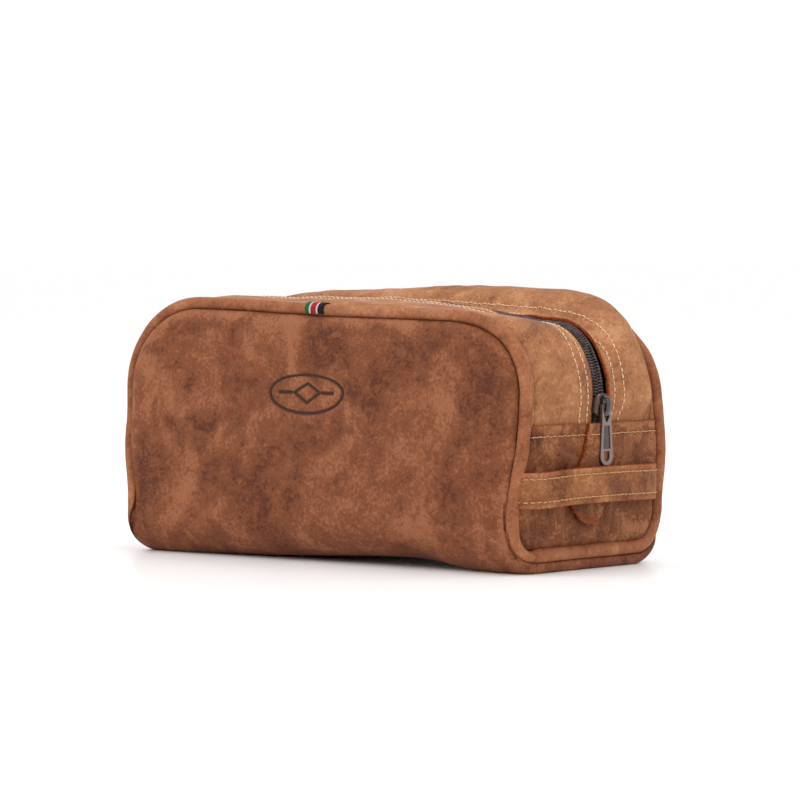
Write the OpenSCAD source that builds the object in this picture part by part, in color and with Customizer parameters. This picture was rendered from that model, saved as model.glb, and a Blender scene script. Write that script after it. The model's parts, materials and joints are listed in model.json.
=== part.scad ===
// Leather shaving kit bag with a zip that runs over the top and down both ends.
// Length runs along X, the front wall is at -Y and Z points up. The origin is on
// the ground, at the middle of the base. All sizes are in millimetres.

/* [Bag] */
// Length over the piping of the two ends
bag_length = 268; // [250:1:290]
// Depth from the front wall to the back wall
bag_depth = 116; // [108:1:126]
// Height over the top piping
bag_height = 136; // [133:1:142]
// Radius of the top corners, at the centre of the piping
corner_r = 48; // [45:1:52]
// Outer radius of the bottom edges of the body panel
bottom_r = 20; // [18:1:24]
// Height of the seam between the top strips and the end panels
seam_z = 72; // [68:0.5:73]

/* [Leather] */
// Thickness of the body panel
wall_t = 2.2; // [1.8:0.1:2.4]
// Thickness of the top strips and end panels
strip_t = 1.6; // [1.2:0.1:1.8]
// Width of the rounded rim of the body panel
rim_r = 3; // [2.6:0.1:3]
// Length of top strip hidden behind each end panel
underlap = 15; // [12:0.5:15]
// Thickness of the fabric lining
lining_t = 0.6; // [0.4:0.1:0.8]

/* [Piping] */
// Outer radius of the leather sleeve
pipe_r = 3.2; // [2.8:0.1:3.3]
// Radius of the filler cord
pipe_cord_r = 2.1; // [1.6:0.1:2.2]
// Distance of the piping's centre from the outer face of the body panel
pipe_inset = 6.4; // [6.3:0.1:7]

/* [Zip] */
// Half of the gap between the two top strips
zip_half_gap = 5.8; // [5.4:0.1:7]
// How far behind the bag's middle the zip runs
zip_y = 5; // [0:0.5:6]
// Radius of one coil
coil_r = 1.6; // [1.4:0.1:1.8]
// Width of one tape, without its coil
tape_w = 10; // [8:0.5:12]
// Place of the slider's middle, in degrees above the corner's centre
slider_angle = -4.3; // [-4.6:0.1:-3]
// Length of the slider
slider_l = 11.5; // [10:0.5:11.5]
// Width of the slider
slider_w = 12.4; // [11:0.2:13]
// Length of the pull tab below its pivot
tab_l = 28.5; // [22:0.5:29]

/* [Grab strap] */
// Width of the strap
strap_w = 18; // [16:1:20]
// Height of the strap's lower edge
strap_z = 33.5; // [28:0.5:34]
// Room for fingers between the end panel and the strap
strap_gap = 5.2; // [5:0.1:9]
// Thickness of one layer of the strap
strap_t = 1.25; // [1:0.05:1.6]

/* [Ribbon] */
// Width of the ribbon loop
ribbon_w = 12; // [8:1:16]
// Distance of the ribbon's middle from the middle of the bag
ribbon_x = -3; // [-40:1:40]

/* [Hidden] */
$fn = 48;

// Gaps between pieces of one body, and between pieces that move apart
sewn_gap = 0.1;
free_gap = 0.3;

// Centre line of the piping in the side view: two corners joined by straight runs
pipe_x = bag_length / 2 - pipe_r;
pipe_top = bag_height - pipe_r;
arc_x = pipe_x - corner_r;
arc_z = pipe_top - corner_r;
half_depth = bag_depth / 2;
flat_y = half_depth - bottom_r;

// Radii of the pieces that follow the corners, measured from the corner's centre
rim_out = corner_r + 0.4;
strip_out = corner_r + 0.5;
strip_in = strip_out - strip_t;
tape_out = strip_in - 0.2;
tape_t = 0.6;
coil_path_r = strip_in - 0.3;

// Distances inward from the outer face of the body panel
panel_inset = pipe_inset + pipe_r + 2 * sewn_gap;
coil_inset = half_depth - coil_r - free_gap;
tape_inset = coil_inset - coil_r - sewn_gap - tape_w;

// Leather end panel and what lies on it, along X
panel_x = arc_x + strip_out + free_gap;
panel_out = panel_x + strip_t;
tongue_t = 1.6;
tongue_w = 25;
tongue_l = 48;
strap_x = panel_out + strap_gap;
strap_half = 46;

// Thread: width, height above the leather, and where the rows run
thread_w = 0.7;
thread_h = 0.3;
zip_rows = [4, 10];
end_row_drop = 5;
strap_row_inset = 2.6;

// Height of the slider's middle, and of the top of the chain's tail at each end
slider_z = arc_z + coil_path_r * sin(slider_angle);
right_tail_top = seam_z + 3.2;
left_tail_top = seam_z + 2;

// Slider: plates either side of the chain, and the crown over the pull tab's bar
plate_t = 1.6;
plate_in = 3;
slider_post_w = 2.4;
tab_t = 1.3;
tab_bar_r = 0.8;
tab_pivot_h = 6.6;
crown_in = tab_pivot_h + tab_bar_r + 0.3;
crown_t = 1.2;
crown_w = 2.2;
crown_half_l = 4.6;
tab_top_w = 7.2;
tab_bottom_w = 11;
tab_window_w = 3.4;
tab_window_l = 6.4;

leather = [0.55, 0.33, 0.22];
light_leather = [0.67, 0.46, 0.33];
thread = [0.85, 0.78, 0.66];
dark_metal = [0.30, 0.23, 0.21];
dark_zip = [0.20, 0.15, 0.13];
lining = [0.45, 0.38, 0.30];

// Points of an arc of radius r about c, from angle a0 to a1
function arc(c, r, a0, a1, steps = 6) =
    [for (i = [0:steps]) let(a = a0 + (a1 - a0) * i / steps) c + r * [cos(a), sin(a)]];

// Draws in the plane of the front wall: X to the right, Y up, depth along -Z
module on_front() {
    translate([0, -half_depth, 0]) rotate([90, 0, 0]) children();
}

module on_back() {
    mirror([0, 1, 0]) on_front() children();
}

// Draws in the plane of an end: X along the bag's depth, Y up, Z along its length
module on_end() {
    rotate([90, 0, 90]) children();
}

module left_side() {
    mirror([1, 0, 0]) children();
}

// Carries a cross-section (distance from the corner's centre, -depth) over the top,
// round both corners and down both ends to height low_z
module arch_sweep(low_z) {
    translate([-arc_x, arc_z, 0]) rotate([90, 0, 90])
        linear_extrude(2 * arc_x) children();
    for (side = [0, 1]) mirror([side, 0, 0]) translate([arc_x, arc_z, 0]) {
        rotate_extrude(angle = 90) children();
        rotate([90, 0, 0]) linear_extrude(arc_z - low_z) children();
    }
}

// Carries a cross-section (distance from the bottom edge's centre, place along X)
// down the front, under the bottom and up the back
module u_sweep(top_z) {
    on_end() {
        translate([flat_y, bottom_r, 0]) rotate([0, 0, -90]) rotate([90, 0, 0])
            linear_extrude(2 * flat_y) children();
        for (side = [0, 1]) mirror([side, 0, 0]) translate([flat_y, bottom_r, 0]) {
            translate([0, top_z - bottom_r, 0]) rotate([90, 0, 0])
                linear_extrude(top_z - bottom_r) children();
            rotate([0, 0, -90]) rotate_extrude(angle = 90) children();
        }
    }
}

// Edge of the body panel, from p0 to its rounded rim at p1, turned inward
module rim_profile(p0, p1) {
    c = [p1 - rim_r, -rim_r];
    polygon(concat(
        [[p0, 0]], arc(c, rim_r, 90, 0), arc(c, rim_r - wall_t, 0, 90), [[p0, -wall_t]]
    ));
}

module box_profile(p0, p1, n0, n1) {
    translate([p0, -n1]) square([p1 - p0, n1 - n0]);
}

// ---- Lower bag ----

module body_panel_lower() {
    end_x = arc_x + rim_out;
    color(leather) u_sweep(seam_z - free_gap / 2) {
        for (side = [0, 1]) mirror([0, side])
            translate([bottom_r, 0]) mirror([1, -1]) rim_profile(0, end_x);
    }
}

module lining_lower() {
    edge_x = pipe_x - pipe_r - 1;
    color(lining) u_sweep(seam_z - free_gap)
        translate([bottom_r - wall_t - sewn_gap - lining_t, -edge_x])
            square([lining_t, 2 * edge_x]);
}

// Flat panel of an end, inset from the body panel, with round bottom corners
module end_outline(inset, top_z) {
    half_w = half_depth - inset;
    r = bottom_r - inset;
    polygon(concat(
        [[half_w, top_z]], arc([half_w - r, bottom_r], r, 0, -90),
        arc([r - half_w, bottom_r], r, 270, 180), [[-half_w, top_z]]
    ));
}

module end_panel() {
    color(leather) on_end() translate([0, 0, panel_x])
        linear_extrude(strip_t) end_outline(panel_inset, seam_z);
}

module end_lining() {
    color(lining) on_end() translate([0, 0, arc_x + strip_in - 1])
        linear_extrude(lining_t) end_outline(panel_inset + 1, seam_z - 2.5);
}

module end_piping(r_out, r_in) {
    u_sweep(seam_z - free_gap / 2) translate([bottom_r - pipe_inset, pipe_x])
        difference() {
            circle(r_out);
            if (r_in > 0) circle(r_in);
        }
}

module end_piping_sleeve() {
    color(light_leather) end_piping(pipe_r, pipe_cord_r + sewn_gap);
}

module end_piping_cord() {
    color(lining) end_piping(pipe_cord_r, 0);
}

module end_stitching() {
    half_w = half_depth - panel_inset - 2;
    color(thread) translate([panel_out + 0.02, 0, seam_z - end_row_drop]) {
        for (side = [-1, 1])
            translate([0, side * (half_w + tongue_w / 2) / 2 - (half_w - tongue_w / 2 - 1) / 2, 0])
                cube([thread_h, half_w - tongue_w / 2 - 1, thread_w]);
    }
}

module zip_tongue() {
    r = tongue_w / 2;
    low = seam_z - 1 - tongue_l;
    color(leather) on_end() translate([0, 0, panel_out + sewn_gap])
        linear_extrude(tongue_t)
            polygon(concat(
                [[r, seam_z - 1]], arc([0, low + r], r, 0, -180, 16), [[-r, seam_z - 1]]
            ));
}

// Last turns of the two coils, held by the end panel
module zip_tail(top_z) {
    low = seam_z - 2.2;
    color(dark_zip) for (side = [-1, 1])
        translate([arc_x + coil_path_r, zip_y + side * (coil_r + free_gap), low])
            cylinder(r = coil_r, h = top_z - low);
}

module zip_stop() {
    stop_w = 6;
    stop_h = 1.6;
    color(dark_metal)
        translate([arc_x + coil_path_r, zip_y - stop_w / 2, seam_z - 2.4 - stop_h])
            cube([coil_r, stop_w, stop_h]);
}

// Sewn end of the grab strap, from the piping out to the free part of the strap
module strap_anchor() {
    low_y = half_depth - pipe_inset + 2;
    start_y = strap_half + free_gap;
    color(leather) translate([0, 0, strap_z]) linear_extrude(strap_w)
        polygon([
            [strap_x, -start_y], [pipe_x + pipe_r + 0.4, -low_y],
            [pipe_x + pipe_r + 2.6, -low_y - 1], [strap_x + 2 * strap_t + sewn_gap, -start_y]
        ]);
}

// ---- Front and back flaps ----

flap_low = seam_z + free_gap / 2;

module wall_shape() {
    arch_sweep(flap_low) rim_profile(0, rim_out);
    translate([-arc_x, flap_low, -wall_t]) cube([2 * arc_x, arc_z - flap_low, wall_t]);
}

module wall_lining_shape() {
    n0 = wall_t + sewn_gap;
    out = corner_r - pipe_r - 1;
    arch_sweep(flap_low + 1) box_profile(0, out, n0, n0 + lining_t);
    translate([-arc_x, flap_low + 1, -n0 - lining_t])
        cube([2 * arc_x, arc_z - flap_low - 1, lining_t]);
}

// The ends tuck behind the end panels, where they are a little narrower
module strip_shape(shift) {
    edge = half_depth - zip_half_gap + shift;
    tuck = 2;
    arch_sweep(seam_z) box_profile(strip_in, strip_out, panel_inset, edge);
    for (side = [0, 1]) mirror([side, 0, 0])
        translate([arc_x + strip_in, seam_z - underlap, tuck - edge])
            cube([strip_t, underlap, edge - tuck - panel_inset]);
}

module piping_shape(r_out, r_in) {
    arch_sweep(flap_low) translate([corner_r, -pipe_inset]) difference() {
        circle(r_out);
        if (r_in > 0) circle(r_in);
    }
}

module tape_shape(shift) {
    edge = tape_inset + tape_w + shift;
    arch_sweep(seam_z - 2)
        box_profile(tape_out - tape_t, tape_out, edge - tape_w, edge);
}

// The coil runs from inside the slider to the tail at the left end
module coil_shape(shift) {
    low_z = [slider_z + 0.6, left_tail_top + free_gap];
    translate([-arc_x, arc_z, 0]) rotate([90, 0, 90])
        linear_extrude(2 * arc_x) coil_profile(shift);
    for (side = [0, 1]) mirror([side, 0, 0]) translate([arc_x, arc_z, 0]) {
        rotate_extrude(angle = 90) coil_profile(shift);
        rotate([90, 0, 0]) linear_extrude(arc_z - low_z[side]) coil_profile(shift);
    }
}

module coil_profile(shift) {
    translate([coil_path_r, -coil_inset - shift]) circle(coil_r);
}

module stitching_shape(shift) {
    edge = half_depth - zip_half_gap + shift;
    for (row = zip_rows)
        arch_sweep(seam_z + 2)
            box_profile(strip_out + 0.02, strip_out + thread_h,
                        edge - row - thread_w, edge - row);
}

module front_wall() { color(leather) on_front() wall_shape(); }
module back_wall() { color(leather) on_back() wall_shape(); }
module front_wall_lining() { color(lining) on_front() wall_lining_shape(); }
module back_wall_lining() { color(lining) on_back() wall_lining_shape(); }
module front_top_strip() { color(light_leather) on_front() strip_shape(zip_y); }
module back_top_strip() { color(light_leather) on_back() strip_shape(-zip_y); }
module front_zip_tape() { color(dark_zip) on_front() tape_shape(zip_y); }
module back_zip_tape() { color(dark_zip) on_back() tape_shape(-zip_y); }
module front_zip_coil() { color(dark_zip) on_front() coil_shape(zip_y); }
module back_zip_coil() { color(dark_zip) on_back() coil_shape(-zip_y); }
module front_zip_stitching() { color(thread) on_front() stitching_shape(zip_y); }
module back_zip_stitching() { color(thread) on_back() stitching_shape(-zip_y); }

module front_piping() {
    color(light_leather) on_front() piping_shape(pipe_r, pipe_cord_r + sewn_gap);
}

module back_piping() {
    color(light_leather) on_back() piping_shape(pipe_r, pipe_cord_r + sewn_gap);
}

module front_piping_cord() { color(lining) on_front() piping_shape(pipe_cord_r, 0); }
module back_piping_cord() { color(lining) on_back() piping_shape(pipe_cord_r, 0); }

// The half of the loop that stands over the front piping
module ribbon_loop() {
    inner = pipe_r + 0.05;
    color([0.75, 0.2, 0.2])
        translate([ribbon_x - ribbon_w / 2, pipe_inset - half_depth, pipe_top])
            on_end() linear_extrude(ribbon_w)
                polygon(concat(arc([0, 0], inner + 0.4, 12, 168, 18),
                               arc([0, 0], inner, 168, 12, 18)));
}

// ---- Zip slider and pull tab ----

// Local frame on the chain at the slider: X points out, Y along the depth, Z up the chain
module at_slider() {
    translate([arc_x, zip_y, arc_z]) rotate([0, -slider_angle, 0])
        translate([coil_path_r, 0, 0]) children();
}

// Shield outline of a plate, broad at the end where the coils part
module plate_outline() {
    half_w = slider_w / 2;
    half_l = slider_l / 2;
    r = 1.6;
    polygon(concat(
        arc([half_w - r, r - half_l], r, 0, -90, 4),
        arc([r - half_w, r - half_l], r, 270, 180, 4),
        [[-half_w, 0], [-half_w + 1.8, half_l], [half_w - 1.8, half_l], [half_w, 0]]
    ));
}

module slider_body() {
    color(dark_metal) at_slider() {
        for (h = [plate_in, -plate_in - plate_t])
            translate([h, 0, 0]) on_end() linear_extrude(plate_t) plate_outline();
        translate([-plate_in - 0.1, -slider_post_w / 2, -slider_l / 2 + 0.8])
            cube([2 * plate_in + 0.2, slider_post_w, 3]);
    }
}

// Loop that the pull tab's bar turns in
module slider_crown() {
    foot_l = 1.2;
    color(dark_metal) at_slider() {
        for (side = [-1, 1])
            translate([plate_in + plate_t + 0.02, -crown_w / 2,
                       side * (crown_half_l - foot_l / 2) - foot_l / 2])
                cube([crown_in - plate_in - plate_t, crown_w, foot_l]);
        translate([crown_in, -crown_w / 2, -crown_half_l])
            cube([crown_t, crown_w, 2 * crown_half_l]);
    }
}

// Place of the pull tab's hinge
tab_pivot_x = arc_x + (coil_path_r + tab_pivot_h) * cos(slider_angle);
tab_pivot_z = arc_z + (coil_path_r + tab_pivot_h) * sin(slider_angle);

// Flat tab that hangs from a round bar, with a slot for the crown and a hole below
module pull_tab() {
    shoulder = 1.5;
    end_r = 1.5;
    color(dark_metal) translate([tab_pivot_x, zip_y, tab_pivot_z]) {
        rotate([90, 0, 0]) cylinder(r = tab_bar_r, h = tab_top_w, center = true);
        on_end() translate([0, 0, -tab_t / 2]) linear_extrude(tab_t) difference() {
            polygon(concat(
                [[tab_top_w / 2, 0]],
                arc([tab_bottom_w / 2 - end_r, end_r - tab_l], end_r, 0, -90, 4),
                arc([end_r - tab_bottom_w / 2, end_r - tab_l], end_r, 270, 180, 4),
                [[-tab_top_w / 2, 0]]
            ));
            translate([-tab_window_w / 2, -tab_window_l])
                square([tab_window_w, tab_window_l + shoulder]);
            translate([0, -tab_l + 6.5]) circle(2.5);
        }
    }
}

// ---- Grab strap ----

module strap_layer(x0) {
    translate([x0, -strap_half, strap_z]) cube([strap_t, 2 * strap_half, strap_w]);
}

module strap_inner_layer() { color(leather) strap_layer(strap_x); }
module strap_outer_layer() { color(leather) strap_layer(strap_x + strap_t + sewn_gap); }

module strap_stitching() {
    rows = [strap_row_inset, strap_w - strap_row_inset - thread_w];
    color(thread) for (row = rows)
        translate([strap_x + 2 * strap_t + sewn_gap + 0.02, 1 - strap_half, strap_z + row])
            cube([thread_h, 2 * strap_half - 2, thread_w]);
}

body_panel_lower();
lining_lower();
end_panel();  // right_end_panel
left_side() end_panel();  // left_end_panel
end_lining();  // right_end_lining
left_side() end_lining();  // left_end_lining
end_piping_sleeve();  // right_end_piping
left_side() end_piping_sleeve();  // left_end_piping
end_piping_cord();  // right_end_piping_cord
left_side() end_piping_cord();  // left_end_piping_cord
end_stitching();  // right_end_stitching
left_side() end_stitching();  // left_end_stitching
zip_tongue();  // right_zip_tongue
left_side() zip_tongue();  // left_zip_tongue
zip_tail(right_tail_top);  // right_zip_tail
left_side() zip_tail(left_tail_top);  // left_zip_tail
zip_stop();  // right_zip_stop
left_side() zip_stop();  // left_zip_stop
strap_anchor();  // strap_front_anchor
mirror([0, 1, 0]) strap_anchor();  // strap_back_anchor
front_wall();
front_wall_lining();
front_top_strip();
front_piping();
front_piping_cord();
front_zip_tape();
front_zip_coil();
front_zip_stitching();
ribbon_loop();
back_wall();
back_wall_lining();
back_top_strip();
back_piping();
back_piping_cord();
back_zip_tape();
back_zip_coil();
back_zip_stitching();
slider_body();
slider_crown();
pull_tab();
strap_outer_layer();
strap_inner_layer();
strap_stitching();
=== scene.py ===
"""Looks of a leather shaving kit bag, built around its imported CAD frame.

Lengths are in millimetres until a mesh is made. Most soft pieces are placed with skin(),
which follows the bag's outline, and then go through slump(), which lets the leather sag.
"""
import json
import math
import bmesh
import bpy
import numpy as np
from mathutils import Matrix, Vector, noise


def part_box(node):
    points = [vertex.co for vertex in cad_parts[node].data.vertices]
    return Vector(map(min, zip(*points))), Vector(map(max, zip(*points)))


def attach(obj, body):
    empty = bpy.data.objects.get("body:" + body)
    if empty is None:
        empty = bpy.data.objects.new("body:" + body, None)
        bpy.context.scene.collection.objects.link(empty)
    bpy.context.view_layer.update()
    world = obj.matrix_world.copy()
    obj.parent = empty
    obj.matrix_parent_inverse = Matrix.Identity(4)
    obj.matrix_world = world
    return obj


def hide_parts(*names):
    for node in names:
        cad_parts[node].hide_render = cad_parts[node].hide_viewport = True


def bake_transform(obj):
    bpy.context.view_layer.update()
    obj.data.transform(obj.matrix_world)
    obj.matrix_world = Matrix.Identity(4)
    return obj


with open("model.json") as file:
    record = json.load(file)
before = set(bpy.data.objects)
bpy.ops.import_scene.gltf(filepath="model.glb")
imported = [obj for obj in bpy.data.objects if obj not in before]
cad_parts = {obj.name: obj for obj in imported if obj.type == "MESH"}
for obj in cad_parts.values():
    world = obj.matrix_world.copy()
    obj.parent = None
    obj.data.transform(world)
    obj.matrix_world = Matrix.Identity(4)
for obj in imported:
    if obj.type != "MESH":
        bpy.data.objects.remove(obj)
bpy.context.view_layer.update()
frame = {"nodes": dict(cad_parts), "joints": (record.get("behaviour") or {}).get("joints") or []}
TO_METRES = 0.001


def node_box(node):
    low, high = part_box(node)
    return np.array(low) / TO_METRES, np.array(high) / TO_METRES


def joint_place(name):
    joint = next(j for j in frame["joints"] if j["name"] == name)
    return np.array(joint["pos_m"]) / TO_METRES


# ---- Sizes from the frame ----
pipe_low, pipe_high = node_box("front_piping")
_, strip_high = node_box("front_top_strip")
_, panel_high = node_box("right_end_panel")
tongue_low, tongue_high = node_box("right_zip_tongue")
strap_low, strap_high = node_box("strap_outer_layer")
ribbon_low, ribbon_high = node_box("ribbon_loop")
tab_low, tab_high = node_box("pull_tab")
ARC_X, _, ARC_Z = joint_place("zip_travel")
PIVOT = joint_place("puller_swing")
SEAM_Z = joint_place("front_mouth")[2]
HALF_DEPTH = -node_box("front_wall")[0][1]
PIPE_R = (pipe_high[1] - pipe_low[1]) / 2
PIPE_Y = -(pipe_high[1] + pipe_low[1]) / 2
PIPE_X = pipe_high[0] - PIPE_R
CORNER_R = PIPE_X - ARC_X
STRIP_R = strip_high[0] - ARC_X
ZIP_Y = PIVOT[1]
# Half the gap between the strips, and the distance of each strip's zip edge from the
# bag's middle plane. Here and below, side -1 is the front and 1 the back
ZIP_GAP = 5.2
SIDE_NAMES = {-1: "front", 1: "back"}
EDGE_W = {-1: ZIP_GAP - ZIP_Y, 1: ZIP_GAP + ZIP_Y}
STRAP_Z = (strap_low[2] + strap_high[2]) / 2
STRAP_W = strap_high[2] - strap_low[2]

# ---- Shape of the leather ----
BOTTOM_R = 20.0
FLAT_Y = HALF_DEPTH - BOTTOM_R
QUARTER = CORNER_R * math.pi / 2
WALL_DROP = ARC_Z - BOTTOM_R
BOTTOM_QUARTER = BOTTOM_R * math.pi / 2
SIDE_START = ARC_X + QUARTER
T_END = SIDE_START + WALL_DROP + BOTTOM_QUARTER + FLAT_Y
WALL_PIPE_DEPTH = HALF_DEPTH - PIPE_Y

# The piping of an end spreads downward and rounds a U with these corner radii
U_RADIUS = {-1: 10.5, 1: 18}
U_LOW = 10.3
PIPE_LOW_DEPTH = 2.4
PIPE_SPREAD = {-1: (26, 80), 1: (30, 122)}


def ease(start, end, value):
    """0 before start, 1 after end and a smooth step between them."""
    share = np.clip((np.asarray(value, float) - start) / (end - start), 0, 1)
    return share * share * (3 - 2 * share)


def curve(points, value):
    """Smooth curve through a few (place, height) points, level outside them."""
    px, py = np.array(points, float).T
    slope = np.zeros(len(px))
    slope[1:-1] = (py[2:] - py[:-2]) / (px[2:] - px[:-2])
    value = np.clip(np.asarray(value, float), px[0], px[-1])
    i = np.clip(np.searchsorted(px, value) - 1, 0, len(px) - 2)
    step = px[i + 1] - px[i]
    u = (value - px[i]) / step
    ends = (1 + 2 * u) * (1 - u) ** 2 * py[i] + u * u * (3 - 2 * u) * py[i + 1]
    return ends + step * (u * (1 - u) ** 2 * slope[i] + u * u * (u - 1) * slope[i + 1])


def bump_at(centre, width, value):
    """1 at the centre, falling off smoothly over about the width."""
    return np.exp(-(((np.asarray(value, float) - centre) / width) ** 2))


def full_turn(count):
    return np.linspace(0, 2 * math.pi, count, endpoint=False)


def unit(arrows):
    return arrows / np.linalg.norm(arrows, axis=-1, keepdims=True)


def xyz(x, y, z):
    """Points from their coordinates, spread to one shape."""
    return np.stack(np.broadcast_arrays(x, y, z), axis=-1)


def cloud(points, size, seed=0.0):
    """Smooth noise between about -1 and 1 at each point, with lumps of the given size."""
    flat = np.asarray(points, float).reshape(-1, 3) / size + seed
    values = [noise.noise(Vector(p)) for p in flat]
    return np.array(values).reshape(np.asarray(points).shape[:-1]) * 1.6


# For slump(). A pair named _HEIGHTS or _ENDS holds the heights, or the places along X,
# between which an effect grows from nothing to its full size.
# How far the top sinks, along X, at the front piping, at the zip and at the back
SAG_FRONT = ((-128, 0), (-90, 2), (-46, 3.3), (6, 5.4), (50, 6.2), (90, 6.8), (104, 5),
             (116, 2), (128, 0))
SAG_ZIP = ((-60, 0.6), (10, 1.2), (36, 3.2), (61, 6.2), (90, 10.4), (101, 8.2), (110, 4.2),
           (118, 1.4), (126, 0))
SAG_BACK = ((-120, 0), (-88, 1.5), (-60, 1.0), (40, 1.8), (76, 1.4), (98, 3.6), (118, 4.8),
            (130, 2.5))
SAG_HEIGHTS = (84, 116)
# The hollow under the bag, and how far the ends of its foot sink
ARCH_LIFT = 4.2
ARCH_MIDDLE = 52
ARCH_LEFT = 76.0
ARCH_RIGHT = 32.0
ARCH_HEIGHTS = (52, 4)
FOOT_DROP = 1.5
FOOT_HEIGHTS = (30, 6)
FOOT_ENDS = (60, 110)
# Shares by which the foot spreads to front and back, and by which the ends draw in there
WIDEN = 0.055
WIDEN_HEIGHTS = (104, 46)
TAPER = 0.026
TAPER_HEIGHTS = (64, 28)
# The left end leans out low down and in higher up
LEFT_OUT = 1.7
LEFT_IN = 2.0
LEFT_ENDS = (-60, -120)
FLOOR_GAP = 0.05


def slump(points):
    """Lets the ideal bag sag: a dipping top, a wider foot and a hollow under the middle."""
    x, y, z = np.moveaxis(np.asarray(points, float), -1, 0)
    to_front = ease(0, -PIPE_Y, y)
    to_back = ease(0, PIPE_Y, y)
    sag = to_front * curve(SAG_FRONT, x) + to_back * curve(SAG_BACK, x)
    sag = sag + (1 - to_front - to_back) * curve(SAG_ZIP, x)
    width = np.where(x < ARCH_MIDDLE, ARCH_LEFT, ARCH_RIGHT)
    lift = ARCH_LIFT * bump_at(ARCH_MIDDLE, width, x) * ease(*ARCH_HEIGHTS, z)
    lift = lift - FOOT_DROP * ease(*FOOT_HEIGHTS, z) * ease(*FOOT_ENDS, np.abs(x))
    wide = 1 + WIDEN * ease(*WIDEN_HEIGHTS, z) * (1 - 0.35 * ease(26, 0, z))
    narrow = 1 - TAPER * ease(*TAPER_HEIGHTS, z) * (0.4 + 0.6 * ease(2, 24, z))
    lean = LEFT_OUT * bump_at(27, 17, z) - LEFT_IN * bump_at(98, 22, z)
    bulge = lean * ease(*LEFT_ENDS, x)
    low = np.maximum(z - sag * ease(*SAG_HEIGHTS, z) + lift, FLOOR_GAP)
    return xyz(x * narrow + bulge, y * wide, low)


def skin(t, r, d, side):
    """A point of the ideal bag. t runs along its outline from the middle of the top,
    over a corner and down an end to the middle of the bottom. r is the distance from the
    corner's centre, d the depth below the wall's face, and side is -1 front or 1 back."""
    t, r, d = np.broadcast_arrays(*(np.asarray(v, float) for v in (t, r, d)))
    along = np.abs(t)
    turn = np.clip((along - ARC_X) / CORNER_R, 0, math.pi / 2)
    down = np.clip(along - SIDE_START, 0, WALL_DROP)
    roll = np.clip((along - SIDE_START - WALL_DROP) / BOTTOM_R, 0, math.pi / 2)
    under = np.clip(along - SIDE_START - WALL_DROP - BOTTOM_QUARTER, 0, None)
    x = np.minimum(along, ARC_X) + r * np.sin(turn)
    z = ARC_Z + r * np.cos(turn) - down - (BOTTOM_R - d) * np.sin(roll)
    y = FLAT_Y + (BOTTOM_R - d) * np.cos(roll) - under
    return xyz(np.sign(t) * x, side * y, z)


def u_corner(side):
    """Radius, y and z of the piping's bottom corner on one side."""
    radius = U_RADIUS[side]
    return radius, HALF_DEPTH - PIPE_LOW_DEPTH - radius, U_LOW + radius


def pipe_wall_depth(z, side):
    """Depth of the piping's centre below the wall's face, above the bottom edge."""
    radius, u_y, u_z = u_corner(side)
    drop = np.clip(u_z - z, 0, radius)
    on_u = HALF_DEPTH - (u_y + np.sqrt(radius ** 2 - drop ** 2))
    return on_u + (WALL_PIPE_DEPTH - PIPE_LOW_DEPTH) * ease(*PIPE_SPREAD[side], z)


def pipe_depth(t, side):
    """Depth of the piping's centre below the bag's face, so that it rounds the U."""
    radius, u_y, u_z = u_corner(side)
    g = np.abs(np.asarray(t, float)) - SIDE_START
    on_wall = pipe_wall_depth(ARC_Z - g, side)
    roll = np.clip((g - WALL_DROP) / BOTTOM_R, 0, math.pi / 2)
    shift = (FLAT_Y - u_y) * np.cos(roll) + (u_z - BOTTOM_R) * np.sin(roll)
    offset = (FLAT_Y - u_y) ** 2 + (u_z - BOTTOM_R) ** 2 - radius ** 2
    to_circle = np.sqrt(shift ** 2 - offset) - shift
    to_line = (BOTTOM_R - U_LOW) / np.maximum(np.sin(roll), 0.01)
    on_line = FLAT_Y + to_line * np.cos(roll) < u_y
    on_corner = BOTTOM_R - np.where(on_line, to_line, to_circle)
    y = FLAT_Y - np.clip(g - WALL_DROP - BOTTOM_QUARTER, 0, None)
    below = u_z - np.sqrt(radius ** 2 - np.clip(y - u_y, 0, radius) ** 2)
    return np.where(g < WALL_DROP, on_wall,
                    np.where(g < WALL_DROP + BOTTOM_QUARTER, on_corner, below))


# ---- Mesh helpers ----
def grid_faces(rows, cols, ring=False):
    """Quads over a grid of points, stored row by row. A ring joins the last column to the first."""
    width = cols if ring else cols - 1
    i, j = np.meshgrid(np.arange(rows - 1), np.arange(width), indexing="ij")
    right = (j + 1) % cols
    corners = (i * cols + j, i * cols + right, (i + 1) * cols + right, (i + 1) * cols + j)
    return np.stack(corners, axis=-1).reshape(-1, 4)


def add_object(name, data):
    made = bpy.data.objects.new(name, data)
    bpy.context.scene.collection.objects.link(made)
    return made


def make_piece(name, points, faces, material, marks=None, smooth=True, flat=0):
    """A mesh object from points in millimetres. marks are named values, spread over the
    points, and the last flat faces aren't smoothed."""
    mesh = bpy.data.meshes.new(name)
    places = np.asarray(points, float).reshape(-1, 3) * TO_METRES
    mesh.from_pydata(places.tolist(), [], [list(map(int, f)) for f in faces])
    for key, values in (marks or {}).items():
        attribute = mesh.attributes.new(key, "FLOAT", "POINT")
        spread = np.broadcast_to(values, np.shape(points)[:-1])
        attribute.data.foreach_set("value", np.ravel(spread).astype(np.float32))
    mesh.validate()
    if smooth:
        count = len(mesh.polygons)
        mesh.polygons.foreach_set("use_smooth", [i < count - flat for i in range(count)])
    mesh.materials.append(material)
    piece = add_object(name, mesh)
    return piece


def edit_mesh(mesh, change):
    """Passes a mesh through a change made on its bmesh."""
    work = bmesh.new()
    work.from_mesh(mesh)
    change(work)
    work.to_mesh(mesh)
    work.free()


def turn_outward(work):
    bmesh.ops.recalc_face_normals(work, faces=work.faces)


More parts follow.
